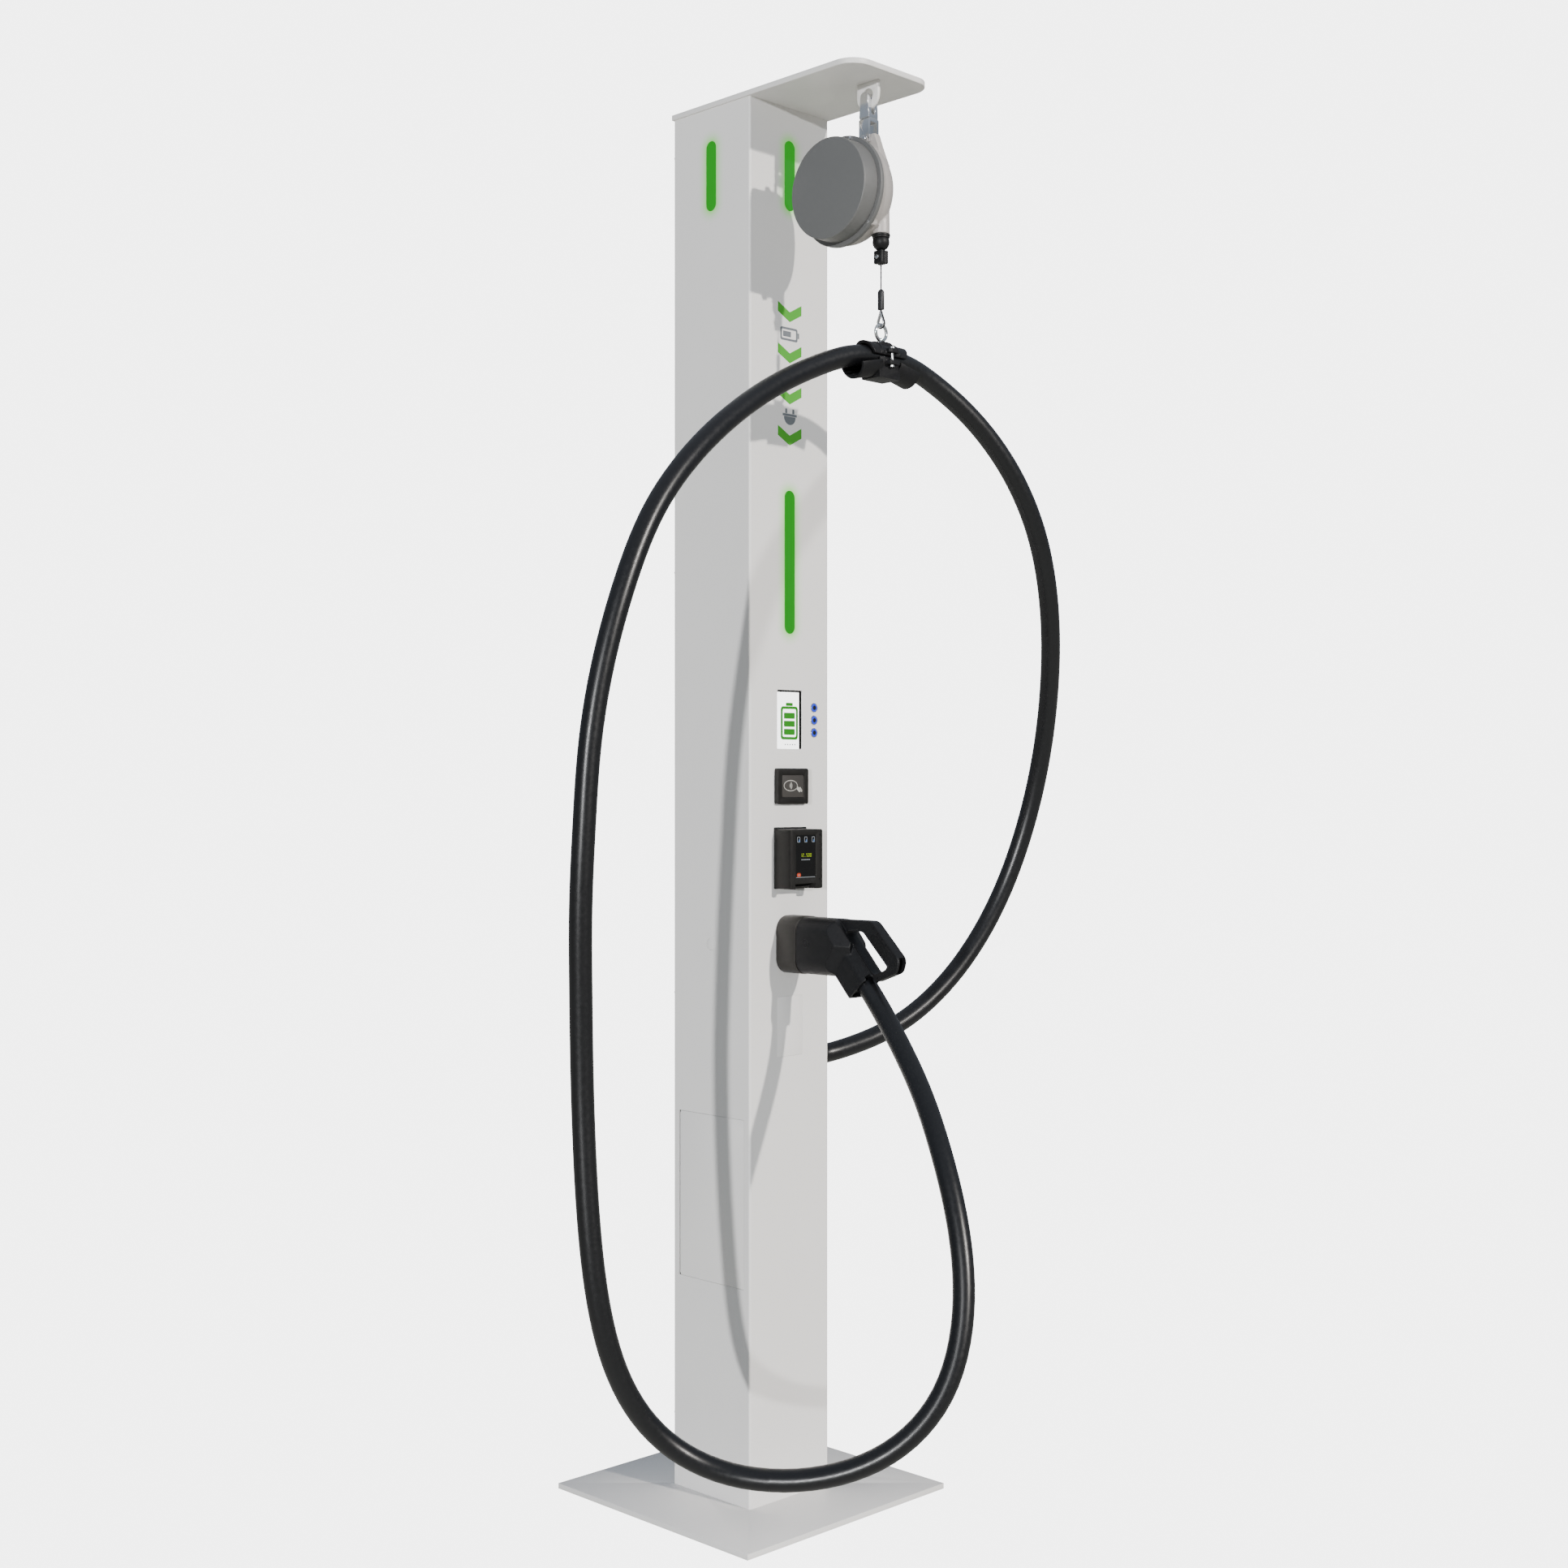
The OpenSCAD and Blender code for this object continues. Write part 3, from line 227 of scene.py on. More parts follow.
PAINT = (0.80, 0.785, 0.765)
M = {
    # paint: the column's coat, with a painted green glow round the lamps
    "paint": coat_with_painted_glow("paint", PAINT, 0.42, [("front", 2.386, 0.050), ("left", 2.386, 0.050),
                                              ("right", 2.386, 0.050), ("front", 1.691, 0.116)]),
    "coat": material("coat", PAINT, 0.42, vary=0.015, grain=1400, bump=0.10, depth=0.00015),
    "primer": material("primer", (0.42, 0.43, 0.44), 0.5, metal=0.3, vary=0.06, grain=500, bump=0.2),
    "zinc": material("zinc", (0.62, 0.62, 0.62), 0.32, metal=1.0, vary=0.05, grain=700, bump=0.1),
    "chrome": material("chrome", (0.82, 0.83, 0.85), 0.12, metal=1.0, vary=0.02, rough_vary=0.03,
                       grain=400, bump=0.02),
    "steel": material("steel", (0.66, 0.67, 0.68), 0.24, metal=1.0, vary=0.04, grain=300, bump=0.08,
                      stretch=(1, 1, 0.1)),
    "rope": material("rope", (0.035, 0.035, 0.037), 0.45, metal=0.5, vary=0.1, grain=2500, bump=0.2),
    "cast": material("cast", (0.42, 0.395, 0.375), 0.45, metal=0.1, vary=0.03, grain=800, bump=0.2,
                     depth=0.0003),
    "cover": material("cover", (0.128, 0.129, 0.127), 0.48, metal=0.1, vary=0.03, grain=900,
                      bump=0.18, depth=0.0002),
    # black: its paler edges are a painted highlight
    "black": material("black", (0.0075, 0.0075, 0.0085), 0.45, vary=0.15, grain=1600, bump=0.22,
                      depth=0.0002, spec=0.22, edge_highlight=(0.02, 0.02, 0.022)),
    # rib: the darkest black, the colour of small screws, and painted shade in the handle's grooves and the
    # terminal's holes
    "rib": material("rib", (0.0035, 0.0035, 0.004), 0.6, vary=0.15, grain=1600, bump=0.2, spec=0.15),
    "grip": material("grip", (0.0055, 0.0055, 0.006), 0.62, vary=0.2, grain=900, bump=0.6,
                     depth=0.0006, spec=0.2),
    # terminal: its paler edges are a painted highlight
    "terminal": material("terminal", (0.0075, 0.0068, 0.006), 0.42, vary=0.08, grain=1800, bump=0.2,
                         depth=0.00015, spec=0.25, edge_highlight=(0.02, 0.02, 0.02)),
    "holder": material("holder", (0.022, 0.020, 0.018), 0.45, vary=0.08, grain=1500, bump=0.2,
                       spec=0.3),
    "rubber": material("rubber", (0.006, 0.006, 0.0065), 0.5, vary=0.1, grain=1100, bump=0.15,
                       spec=0.25),
    "cable": material("cable", (0.0045, 0.0047, 0.0058), 0.34, vary=0.12, rough_vary=0.05, grain=260,
                      bump=0.10, depth=0.0002, stretch=(1, 1, 0.25), spec=0.42),
    "brass": material("brass", (0.62, 0.48, 0.24), 0.25, metal=1.0, vary=0.05, grain=500, bump=0.05),
    "board": material("board", (0.75, 0.76, 0.73), 0.5, vary=0.05, grain=600, bump=0.1),
    "beige": material("beige", (0.50, 0.48, 0.36), 0.5, vary=0.05, grain=900, bump=0.15),
    "grey": material("grey", (0.10, 0.105, 0.11), 0.45, vary=0.06, grain=900, bump=0.15),
    "pad": material("pad", (0.045, 0.042, 0.039), 0.35, vary=0.05, grain=900, bump=0.08, spec=0.3),
    "glass": material("glass", (0.0045, 0.0045, 0.0045), 0.22, vary=0.05, grain=900, bump=0.02,
                      spec=0.25),
    "case": material("case", (0.05, 0.13, 0.09), 0.5, vary=0.06, grain=900, bump=0.15),
    "sheet": material("sheet", (0.60, 0.61, 0.62), 0.38, metal=1.0, vary=0.04, grain=200, bump=0.05,
                      stretch=(1, 1, 0.05)),
    "spring": material("spring", (0.16, 0.18, 0.25), 0.3, metal=1.0, vary=0.1, grain=500, bump=0.1),
    "film": material("film", (0.145, 0.16, 0.175), 0.45, vary=0.02, grain=1400, bump=0.08),
    "green": material("green", (0.055, 0.33, 0.018), 0.42, vary=0.02, grain=1400, bump=0.08),
    "ink": material("ink", (0.42, 0.41, 0.38), 0.5, vary=0.03, grain=1400, bump=0.05),
    "dark": material("dark", (0.004, 0.004, 0.004), 0.5, vary=0.1, grain=900, bump=0.1, spec=0.2),
    "lamp": lamp("lamp", (0.006, 0.36, 0.003), 1.0),
    "screen": lamp("screen", (1.0, 1.0, 1.0), 4.0, rough=0.25),
    "screen_green": lamp("screen_green", (0.030, 0.36, 0.010), 1.0),
    "screen_grey": lamp("screen_grey", (0.20, 0.22, 0.24), 1.0),
    "blue": lamp("blue", (0.012, 0.05, 1.0), 0.85, base=(0.01, 0.02, 0.2)),
    "text_white": lamp("text_white", (0.75, 0.80, 0.85), 0.55),
    "text_blue": lamp("text_blue", (0.16, 0.35, 0.75), 0.6),
    "text_lime": lamp("text_lime", (0.52, 0.72, 0.02), 0.75),
    "text_red": lamp("text_red", (0.75, 0.075, 0.02), 0.9),
}

FINISH = {
    "base_plate": "coat", "column_shell": "paint", "rear_cover": "coat", "cover_screws": "zinc",
    "end_frames": "primer", "roof_plate": "coat", "balancer_bracket": "coat",
    "upper_light_lenses": "lamp", "level_light_lens": "lamp", "led_boards": "board",
    "hinge_ears": "primer", "door_catch": "rubber", "service_door": "coat", "release_plug": "coat",
    "blanking_plate": "coat", "display_module": "dark", "display_glass": "screen",
    "button_bezels": "chrome", "button_cap_top": "blue", "button_cap_middle": "blue",
    "button_cap_bottom": "blue", "reader_frame": "terminal", "reader_pad": "pad",
    "terminal_gasket": "rubber", "terminal_housing": "terminal", "terminal_screen": "glass",
    "plug_holder": "holder", "holder_socket": "rubber", "connector_shell": "black",
    "connector_nose": "black", "connector_contacts": "brass", "gland_body": "rubber",
    "gland_nut": "rubber", "hanger_bow": "chrome", "hanger_fork": "chrome", "lug_pin": "steel",
    "balancer_housing": "cast", "balancer_cover": "cover", "balancer_screws": "chrome",
    "drum": "sheet", "drum_shaft": "steel", "mainspring": "spring", "rope_guide": "rubber",
    "rope": "rope", "stop_ball": "rubber", "stop_clamp": "rubber", "ferrule": "rope",
    "thimble": "steel", "eye_bolt": "chrome", "clamp_saddle": "black", "clamp_trough": "black",
    "clamp_screws": "zinc", "mounting_panel": "sheet", "terminal_blocks": "beige",
    "contactors": "grey", "charge_controller": "case", "cable_riser": "cable",
    "cable_drop": "cable", "cable_rise": "cable",
}
for node, finish in FINISH.items():
    slots = NODES[node].material_slots
    if not slots:
        NODES[node].data.materials.append(M[finish])
    for s in slots:
        s.material = M[finish]

# ---------------------------------------------------------------- mesh helpers (millimetres in, metres out)


def link(o):
    bpy.context.scene.collection.objects.link(o)
    return o


def mesh(name, verts, faces, finish):
    me = bpy.data.meshes.new(name)
    me.from_pydata([tuple(c * 0.001 for c in v) for v in verts], [], faces)
    me.validate()
    bm = bmesh.new()
    bm.from_mesh(me)
    bmesh.ops.recalc_face_normals(bm, faces=bm.faces)
    bm.to_mesh(me)
    bm.free()
    me.materials.append(M[finish])
    return link(bpy.data.objects.new(name, me))


def smooth(o, angle=40):
    me = o.data
    for p in me.polygons:
        p.use_smooth = True
    me.set_sharp_from_angle(angle=math.radians(angle))
    return o


def bevel(o, width, segments=2, angle=30):
    m = o.modifiers.new("bevel", "BEVEL")
    m.width = width * 0.001
    m.segments = segments
    m.limit_method = "ANGLE"
    m.angle_limit = math.radians(angle)
    m.use_clamp_overlap = True
    return o


def applied(o):
    """Turns o's modifiers into its mesh."""
    dg = bpy.context.evaluated_depsgraph_get()
    me = bpy.data.meshes.new_from_object(o.evaluated_get(dg))
    old = o.data
    o.modifiers.clear()
    o.data = me
    bpy.data.meshes.remove(old)
    return o


def join(o, parts):
    bm = bmesh.new()
    for p in [o] + parts:
        bm.from_mesh(p.data)
    bm.to_mesh(o.data)
    bm.free()
    for p in parts:
        drop(p)
    return o


def drop(o):
    me = o.data
    bpy.data.objects.remove(o)
    bpy.data.meshes.remove(me)


def cut(o, *cutters):
    for c in cutters:
        m = o.modifiers.new("cut", "BOOLEAN")
        m.operation = "DIFFERENCE"
        m.solver = "EXACT"
        m.object = c
    applied(o)
    for c in cutters:
        drop(c)
    return o


def fused(o, voxel, rounds=6, factor=0.5):
    """Joins overlapping closed shells into one skin with soft corners."""
    m = o.modifiers.new("remesh", "REMESH")
    m.mode = "VOXEL"
    m.voxel_size = voxel * 0.001
    m.use_smooth_shade = True
    s = o.modifiers.new("smooth", "SMOOTH")
    s.iterations = rounds
    s.factor = factor
    return applied(o)


def put(o, body, slot, *replaced):
    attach(o, body)
    if replaced:
        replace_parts(o, *replaced)
    return o


def arc(cx, cy, r, a0, a1, n):
    return [(cx + r * math.cos(math.radians(a0 + (a1 - a0) * i / n)),
             cy + r * math.sin(math.radians(a0 + (a1 - a0) * i / n))) for i in range(n + 1)]


def rounded(w, h, r, cx=0.0, cy=0.0, n=8):
    pts = []
    for sx, sy, a in ((1, 1, 0), (-1, 1, 90), (-1, -1, 180), (1, -1, 270)):
        pts += arc(cx + sx * (w / 2 - r), cy + sy * (h / 2 - r), r, a, a + 90, n)
    return pts


def prism(name, outline, lo, hi, axis, finish):
    """Extrudes a 2D outline. On X it is (y, z), on Y (x, z) and on Z (x, y)."""
    place = {"x": lambda a, b, t: (t, a, b), "y": lambda a, b, t: (a, t, b),
             "z": lambda a, b, t: (a, b, t)}[axis]
    n = len(outline)
    verts = [place(a, b, lo) for a, b in outline] + [place(a, b, hi) for a, b in outline]
    faces = [list(range(n)), list(range(2 * n - 1, n - 1, -1))]
    faces += [[i, (i + 1) % n, n + (i + 1) % n, n + i] for i in range(n)]
    return mesh(name, verts, faces, finish)


def lathe(name, profile, origin, axis, finish, n=64, closed=False):
    """Turns a (radius, height) profile about an axis through origin."""
    z = Vector(axis).normalized()
    x = z.orthogonal().normalized()
    y = z.cross(x)
    o = Vector(origin)
    verts, faces = [], []
    for r, h in profile:
        for k in range(n):
            a = 2 * math.pi * k / n
            verts.append(o + z * h + (x * math.cos(a) + y * math.sin(a)) * max(r, 0.001))
    rows = len(profile)
    for i in range(rows if closed else rows - 1):
        j = (i + 1) % rows
        for k in range(n):
            l = (k + 1) % n
            faces.append([i * n + k, i * n + l, j * n + l, j * n + k])
    if not closed:
        faces += [list(range(n - 1, -1, -1)), [(rows - 1) * n + k for k in range(n)]]
    return mesh(name, verts, faces, finish)


def sweep(name, points, radius, finish, sides=16, closed=False, lobes=0, twist=0.0, ups=None):
    """A tube along points; with lobes it has strands that turn by twist radians per mm."""
    pts = [Vector(p) for p in points]
    n = len(pts)
    verts, faces = [], []
    along = 0.0
    side = None
    for i, p in enumerate(pts):
        a = pts[i - 1] if (i or closed) else p
        b = pts[(i + 1) % n] if (i < n - 1 or closed) else p
        t = (b - a).normalized()
        if ups:
            u = t.cross(Vector(ups)).normalized()
        else:
            u = t.orthogonal().normalized() if side is None else (side - t * side.dot(t)).normalized()
            side = u
        v = t.cross(u) if not ups else u.cross(t)
        if i:
            along += (p - pts[i - 1]).length
        for k in range(sides):
            a = 2 * math.pi * k / sides
            r = radius
            if lobes:
                r *= 0.88 + 0.12 * abs(math.cos(lobes * (a - twist * along) / 2)) ** 0.5
            verts.append(p + (u * math.cos(a) + v * math.sin(a)) * r)
    for i in range(n if closed else n - 1):
        j = (i + 1) % n
        for k in range(sides):
            l = (k + 1) % sides
            faces.append([i * sides + k, i * sides + l, j * sides + l, j * sides + k])
    if not closed:
        faces += [list(range(sides - 1, -1, -1)), [(n - 1) * sides + k for k in range(sides)]]
    return mesh(name, verts, faces, finish)


# ---------------------------------------------------------------- cable

EXIT = Vector((0, -292.5, 938))
TILT = math.radians(48)
EXIT_DIR = Vector((0, -math.cos(TILT), -math.sin(TILT)))
ROPE_Y = -322
CLAMP_Z = 2026
RISER = [(120, -30, 785), (145, -30, 785), (170, -30, 785), (250, -70, 808), (335, -100, 848),
         (425, -125, 920), (495, -150, 1015), (540, -175, 1120), (560, -205, 1235),
         (555, -240, 1350), (525, -280, 1460), (480, -320, 1565), (430, -350, 1665), (370, -370, 1765),
         (295, -370, 1865), (210, -350, 1950), (125, -325, 2005), (60, -322, 2026)]
DROP = [(0, -322, 2026), (-60, -322, 2026), (-125, -315, 2005), (-240, -315, 1955),
        (-350, -325, 1890), (-450, -335, 1815), (-535, -335, 1720), (-590, -335, 1605),
        (-625, -325, 1485), (-645, -315, 1360), (-650, -310, 1230), (-650, -300, 1105),
        (-640, -290, 980), (-630, -280, 855), (-625, -280, 730), (-620, -285, 605),
        (-605, -290, 480), (-560, -285, 360), (-480, -290, 255), (-395, -355, 195),
        (-315, -465, 195)]
RISE = [(-240, -565, 240), (-170, -620, 330), (-125, -620, 455), (-105, -590, 580),
        (-85, -535, 690), (-40, -450, 785), tuple(EXIT + 84 * EXIT_DIR - Vector((4, 0, 0))),
        tuple(EXIT + 15 * EXIT_DIR), tuple(EXIT - 24.8 * EXIT_DIR)]
ROUTE = [Vector(p) for p in RISER + DROP + RISE]
CLAMP_AT, LOW_AT, END_AT = 18, 37.5, len(ROUTE) - 1


def on_route(u):
    q = [2 * ROUTE[0] - ROUTE[1]] + ROUTE + [2 * ROUTE[-1] - ROUTE[-2]]
    i = min(int(u), len(ROUTE) - 2)
    t = u - i
    return ((1 - t) ** 3 * q[i] + (3 * t ** 3 - 6 * t * t + 4) * q[i + 1]
            + (-3 * t ** 3 + 3 * t * t + 3 * t + 1) * q[i + 2] + t ** 3 * q[i + 3]) / 6


def cable(name, u0, u1, rings, node):
    pts = [on_route(u0 + (u1 - u0) * i / (rings - 1)) for i in range(rings)]
    o = sweep(name, pts, 18, "cable", sides=32, ups=(0, 1, 0))
    smooth(o, 60)
    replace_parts(o, node)
    return o, pts


riser, riser_pts = cable("cable_riser_skin", 0, CLAMP_AT, 103, "cable_riser")
dropper, drop_pts = cable("cable_drop_skin", CLAMP_AT, LOW_AT, 118, "cable_drop")
riseup, rise_pts = cable("cable_rise_skin", LOW_AT, END_AT, 58, "cable_rise")
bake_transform(riser)
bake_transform(dropper)
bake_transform(riseup)

# ---------------------------------------------------------------- helpers for what covers a CAD node

SLOT = {p["node"]: p["material_slot"] for p in frame["record"]["subparts"]}


def mm(node):
    """Lowest and highest corner of a CAD node."""
    lo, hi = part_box(node)
    return lo * 1000, hi * 1000


def stand(o, node):
    """o takes the place of a CAD node, on its body."""
    return put(o, NODES[node]["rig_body"], SLOT[node], node)


def extra(o, node):
    """o is a detail that goes with a CAD node."""
    return put(o, NODES[node]["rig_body"], SLOT[node])


def skin(node, width, segments=2, angle=35):
    """The CAD node's own surface with its edges rounded."""
    bm = bmesh.new()
    bm.from_mesh(NODES[node].data)
    bmesh.ops.remove_doubles(bm, verts=bm.verts, dist=1e-5)
    bmesh.ops.dissolve_limit(bm, angle_limit=math.radians(1), verts=bm.verts, edges=bm.edges)
    me = bpy.data.meshes.new(node + "_skin")
    bm.to_mesh(me)
    bm.free()
    me.materials.append(M[FINISH[node]])
    for p in me.polygons:
        p.material_index = 0
    o = link(bpy.data.objects.new(node + "_skin", me))
    return stand(smooth(applied(bevel(o, width, segments)), angle), node)


def loft(name, rings, finish):
    """A closed skin over rings of equally many points."""
    n = len(rings[0])
    verts = [p for r in rings for p in r]
    faces = [list(range(n - 1, -1, -1)), [len(verts) - n + k for k in range(n)]]
    for i in range(len(rings) - 1):
        for k in range(n):
            l = (k + 1) % n
            faces.append([i * n + k, i * n + l, (i + 1) * n + l, (i + 1) * n + k])
    return mesh(name, verts, faces, finish)


def band(name, outer, inner, lo, hi, axis, finish):
    """A flat ring between two outlines of equally many points."""
    place = {"x": lambda a, b, t: (t, a, b), "y": lambda a, b, t: (a, t, b)}[axis]
    n = len(outer)
    verts = [place(a, b, t) for t in (lo, hi) for loop in (outer, inner) for a, b in loop]
    faces = []
    for k in range(n):
        l = (k + 1) % n
        faces += [[k, l, n + l, n + k], [2 * n + k, 3 * n + k, 3 * n + l, 2 * n + l],
                  [k, 2 * n + k, 2 * n + l, l], [n + k, n + l, 3 * n + l, 3 * n + k]]
    return mesh(name, verts, faces, finish)


def sliced(o, point, normal):
    """Takes away what lies past a plane, and closes the cut."""
    bm = bmesh.new()
    bm.from_mesh(o.data)
    cut_edges = bmesh.ops.bisect_plane(bm, geom=bm.verts[:] + bm.edges[:] + bm.faces[:],
                                       plane_co=Vector(point) * 0.001, plane_no=normal,
                                       clear_outer=True)["geom_cut"]
    bmesh.ops.edgeloop_fill(bm, edges=[e for e in cut_edges if isinstance(e, bmesh.types.BMEdge)])
    bm.to_mesh(o.data)
    bm.free()
    return o


def turned(o, matrix):
    o.data.transform(matrix)
    return o


def ellipse(cx, cy, a, b, tilt=0.0, n=40):
    c, s = math.cos(math.radians(tilt)), math.sin(math.radians(tilt))
    pts = [(a * math.cos(2 * math.pi * k / n), b * math.sin(2 * math.pi * k / n)) for k in range(n)]
    return [(cx + c * u - s * v, cy + s * u + c * v) for u, v in pts]


def softened(pts, r, n=5):
    """The outline with each corner rounded to about r."""
    out = []
    count = len(pts)
    for i, p in enumerate(pts):
        p = Vector(p)
        a, b = Vector(pts[i - 1]), Vector(pts[(i + 1) % count])
        ta = min(r, (a - p).length * 0.45)
        tb = min(r, (b - p).length * 0.45)
        start, end = p + (a - p).normalized() * ta, p + (b - p).normalized() * tb
        for k in range(n + 1):
            t = k / n
            q = start * (1 - t) ** 2 + p * 2 * t * (1 - t) + end * t * t
            out.append((q.x, q.y))
    return out


# ---------------------------------------------------------------- sheet metal, gland and small fittings

for node, width in (("base_plate", 1.2), ("roof_plate", 1.0), ("balancer_bracket", 1.2),
                    ("service_door", 0.4), ("release_plug", 0.4), ("blanking_plate", 0.3),
                    ("cover_screws", 0.5), ("gland_nut", 0.8), ("gland_body", 0.6),
                    ("hanger_fork", 1.0), ("lug_pin", 0.6), ("balancer_screws", 0.6),
                    ("reader_frame", 0.9), ("reader_pad", 0.3), ("terminal_gasket", 0.8),
                    ("terminal_housing", 0.9), ("plug_holder", 1.2), ("clamp_trough", 0.8),
                    ("clamp_screws", 0.4), ("contactors", 1.5), ("charge_controller", 2.0),
                    ("terminal_blocks", 0.8)):
    skin(node, width)

# ---------------------------------------------------------------- balancer

lo, hi = mm("balancer_cover")
cover_r = (hi.z - lo.z) / 2
AXLE = Vector((0, (lo.y + hi.y) / 2, (lo.z + hi.z) / 2))
cover_wall = 2.5
cover = lathe("balancer_cover_skin",
              [(0, lo.x)] + arc(cover_r - 2, lo.x + 2, 2, -90, 0, 4)
              + [(cover_r, hi.x), (cover_r - cover_wall, hi.x),
                 (cover_r - cover_wall, lo.x + cover_wall), (0, lo.x + cover_wall)],
              AXLE, (1, 0, 0), "cover", n=128)
stand(smooth(cover, 30), "balancer_cover")

nozzle_lo = mm("rope_guide")[1].z
pin_lo, pin_hi = mm("lug_pin")
PIN = Vector((0, (pin_lo.y + pin_hi.y) / 2, (pin_lo.z + pin_hi.z) / 2))
flange_x, flange_back, dome_r, dome_top, power = -42, -34, 90, 33, 2.5
flange_r = cover_r + 8


def dome_height(r):
    return flange_back + (dome_top - flange_back) * max(0, 1 - (r / dome_r) ** power) ** (1 / power)


dome = [(dome_r * math.sin(math.radians(90 * i / 24)),) * 2 for i in range(25)]
dome = [(r, dome_height(r)) for r, _ in dome]
housing = lathe("balancer_housing_skin", dome + [(dome_r, flange_x + 3), (0, flange_x + 3)],
                AXLE, (1, 0, 0), "cast", n=96)
nozzle = lathe("nozzle", [(0, nozzle_lo), (14, nozzle_lo), (15, nozzle_lo + 1), (14.6, nozzle_lo + 60),
                          (0, nozzle_lo + 60)], (0, ROPE_Y, 0), (0, 0, 1), "cast", n=48)
lug = prism("lug", [(PIN.y - 44, AXLE.z + 38), (PIN.y - 30, PIN.z - 20), (PIN.y - 20, PIN.z + 7)]
            + arc(PIN.y, PIN.z, 8.5, 120, -20, 8) + [(PIN.y + 9, PIN.z - 12), (PIN.y + 6, AXLE.z + 70),
                                                    (PIN.y - 34, AXLE.z + 34)], -7, 7, "x", "cast")
SCREW_ANGLES = [math.radians(15 + 120 * n) for n in range(3)]
boss_shape = [(0, flange_back - 3), (5.5, flange_back - 3), (5, flange_back + 12),
              (0, flange_back + 14)]
bosses = [lathe("boss", boss_shape, AXLE + Vector((0, -math.sin(a), math.cos(a))) * (flange_r - 5),
                (1, 0, 0), "cast", n=24) for a in SCREW_ANGLES]
join(housing, [nozzle, lug] + bosses)
fused(housing, 1.4, rounds=4)
eye = lathe("eye", [(0, -9), (5, -9), (5, -5.6), (0, -5.6)], PIN, (1, 0, 0), "cast", n=32)
flange = lathe("flange", [(dome_r - 4, flange_back)] + arc(flange_r - 1, flange_back - 1, 1, 90, 0, 3)
               + arc(flange_r - 1, flange_x + 1, 1, 0, -90, 3)
               + [(cover_r - 3, flange_x), (cover_r - 3, flange_x + 3)],
               AXLE, (1, 0, 0), "cover", n=128, closed=True)
stand(smooth(cut(housing, eye), 50), "balancer_housing")
extra(smooth(flange, 30), "balancer_housing")

# The chrome bow: two tapering legs joined over the bracket's eye
bow_lo, bow_hi = mm("hanger_bow")
bow_y = (bow_lo.y + bow_hi.y) / 2
head_z = bow_hi.z - 7
legs = []
for side in (-1, 1):
    outline = ([(bow_y - 11, bow_lo.z), (bow_y + 11, bow_lo.z), (bow_y + 11, bow_lo.z + 7)]
               + [(bow_y + 9, head_z)] + arc(bow_y, head_z, 9, 10, 170, 12)
               + [(bow_y - 9, head_z), (bow_y - 11, bow_lo.z + 7)])
    near, far = sorted((4 * side, 12.5 * side))
    legs.append(prism("leg", outline, near, far, "x", "chrome"))
foot = prism("foot", [(bow_y - 11, bow_lo.z), (bow_y + 11, bow_lo.z), (bow_y + 11, bow_lo.z + 7),
                      (bow_y - 11, bow_lo.z + 7)], -6, 6, "x", "chrome")
bar = lathe("bar", [(0, -6), (6.8, -6), (6.8, 6), (0, 6)], (0, bow_y, head_z), (1, 0, 0), "chrome", n=40)
bow = join(legs[0], [legs[1], foot, bar])
bow.name = "hanger_bow_skin"
stand(smooth(fused(bow, 0.7, rounds=5), 180), "hanger_bow")

# ---------------------------------------------------------------- rope and its fittings

rope_lo, rope_hi = mm("rope")
turns = 240
rope = sweep("rope_skin", [(0, ROPE_Y, rope_hi.z + (rope_lo.z - rope_hi.z) * i / turns)
                           for i in range(turns + 1)], 1.25, "rope", sides=24, lobes=6, twist=0.32)
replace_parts(smooth(rope, 60), "rope")
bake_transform(rope)

lo, hi = mm("rope_guide")
guide = lathe("rope_guide_skin", [(2.2, hi.z), (15.4, hi.z)] + arc(15.2, hi.z - 1, 0.9, 90, 0, 3)
              + [(16.0, hi.z - 2), (16.0, lo.z + 4), (15.0, lo.z + 3), (15.0, lo.z + 1), (14.0, lo.z),
                 (4, lo.z), (2.2, lo.z + 2)], (0, ROPE_Y, 0), (0, 0, 1), "rubber", n=64, closed=True)
stand(smooth(guide, 35), "rope_guide")

lo, hi = mm("stop_ball")
ball_r = (hi.x - lo.x) / 2
ball_z = lo.z + ball_r
flat = math.degrees(math.asin((hi.z - ball_z) / ball_r))
ball = lathe("stop_ball_skin", [(1.3, hi.z)] + [(ball_r * math.cos(math.radians(a)),
             ball_z + ball_r * math.sin(math.radians(a)))
             for a in [flat + (-84 - flat) * i / 24 for i in range(25)]] + [(1.3, lo.z)],
             (0, ROPE_Y, 0), (0, 0, 1), "rubber", n=64, closed=True)
stand(smooth(ball, 35), "stop_ball")

lo, hi = mm("stop_clamp")
mid = (lo.z + hi.z) / 2
halves = [prism("half", rounded(8.2, 20, 2.6, cx=side * 4.9, cy=ROPE_Y), lo.z, hi.z, "z", "rubber")
          for side in (-1, 1)]
waist = prism("waist", rounded(6, 16, 2, cx=0, cy=ROPE_Y), lo.z + 2, hi.z - 2, "z", "rubber")
block = join(halves[0], [halves[1], waist])
block.name = "stop_clamp_skin"
bolt_r = 4.2
bolt_head = prism("stop_bolt", [(ROPE_Y + bolt_r * math.cos(math.radians(a)),
                                 mid + bolt_r * math.sin(math.radians(a)))
                                for a in range(30, 390, 60)], lo.x, -8.8, "x", "steel")
stand(smooth(fused(block, 0.5, rounds=4), 180), "stop_clamp")
extra(smooth(applied(bevel(bolt_head, 0.5, 2)), 35), "stop_clamp")

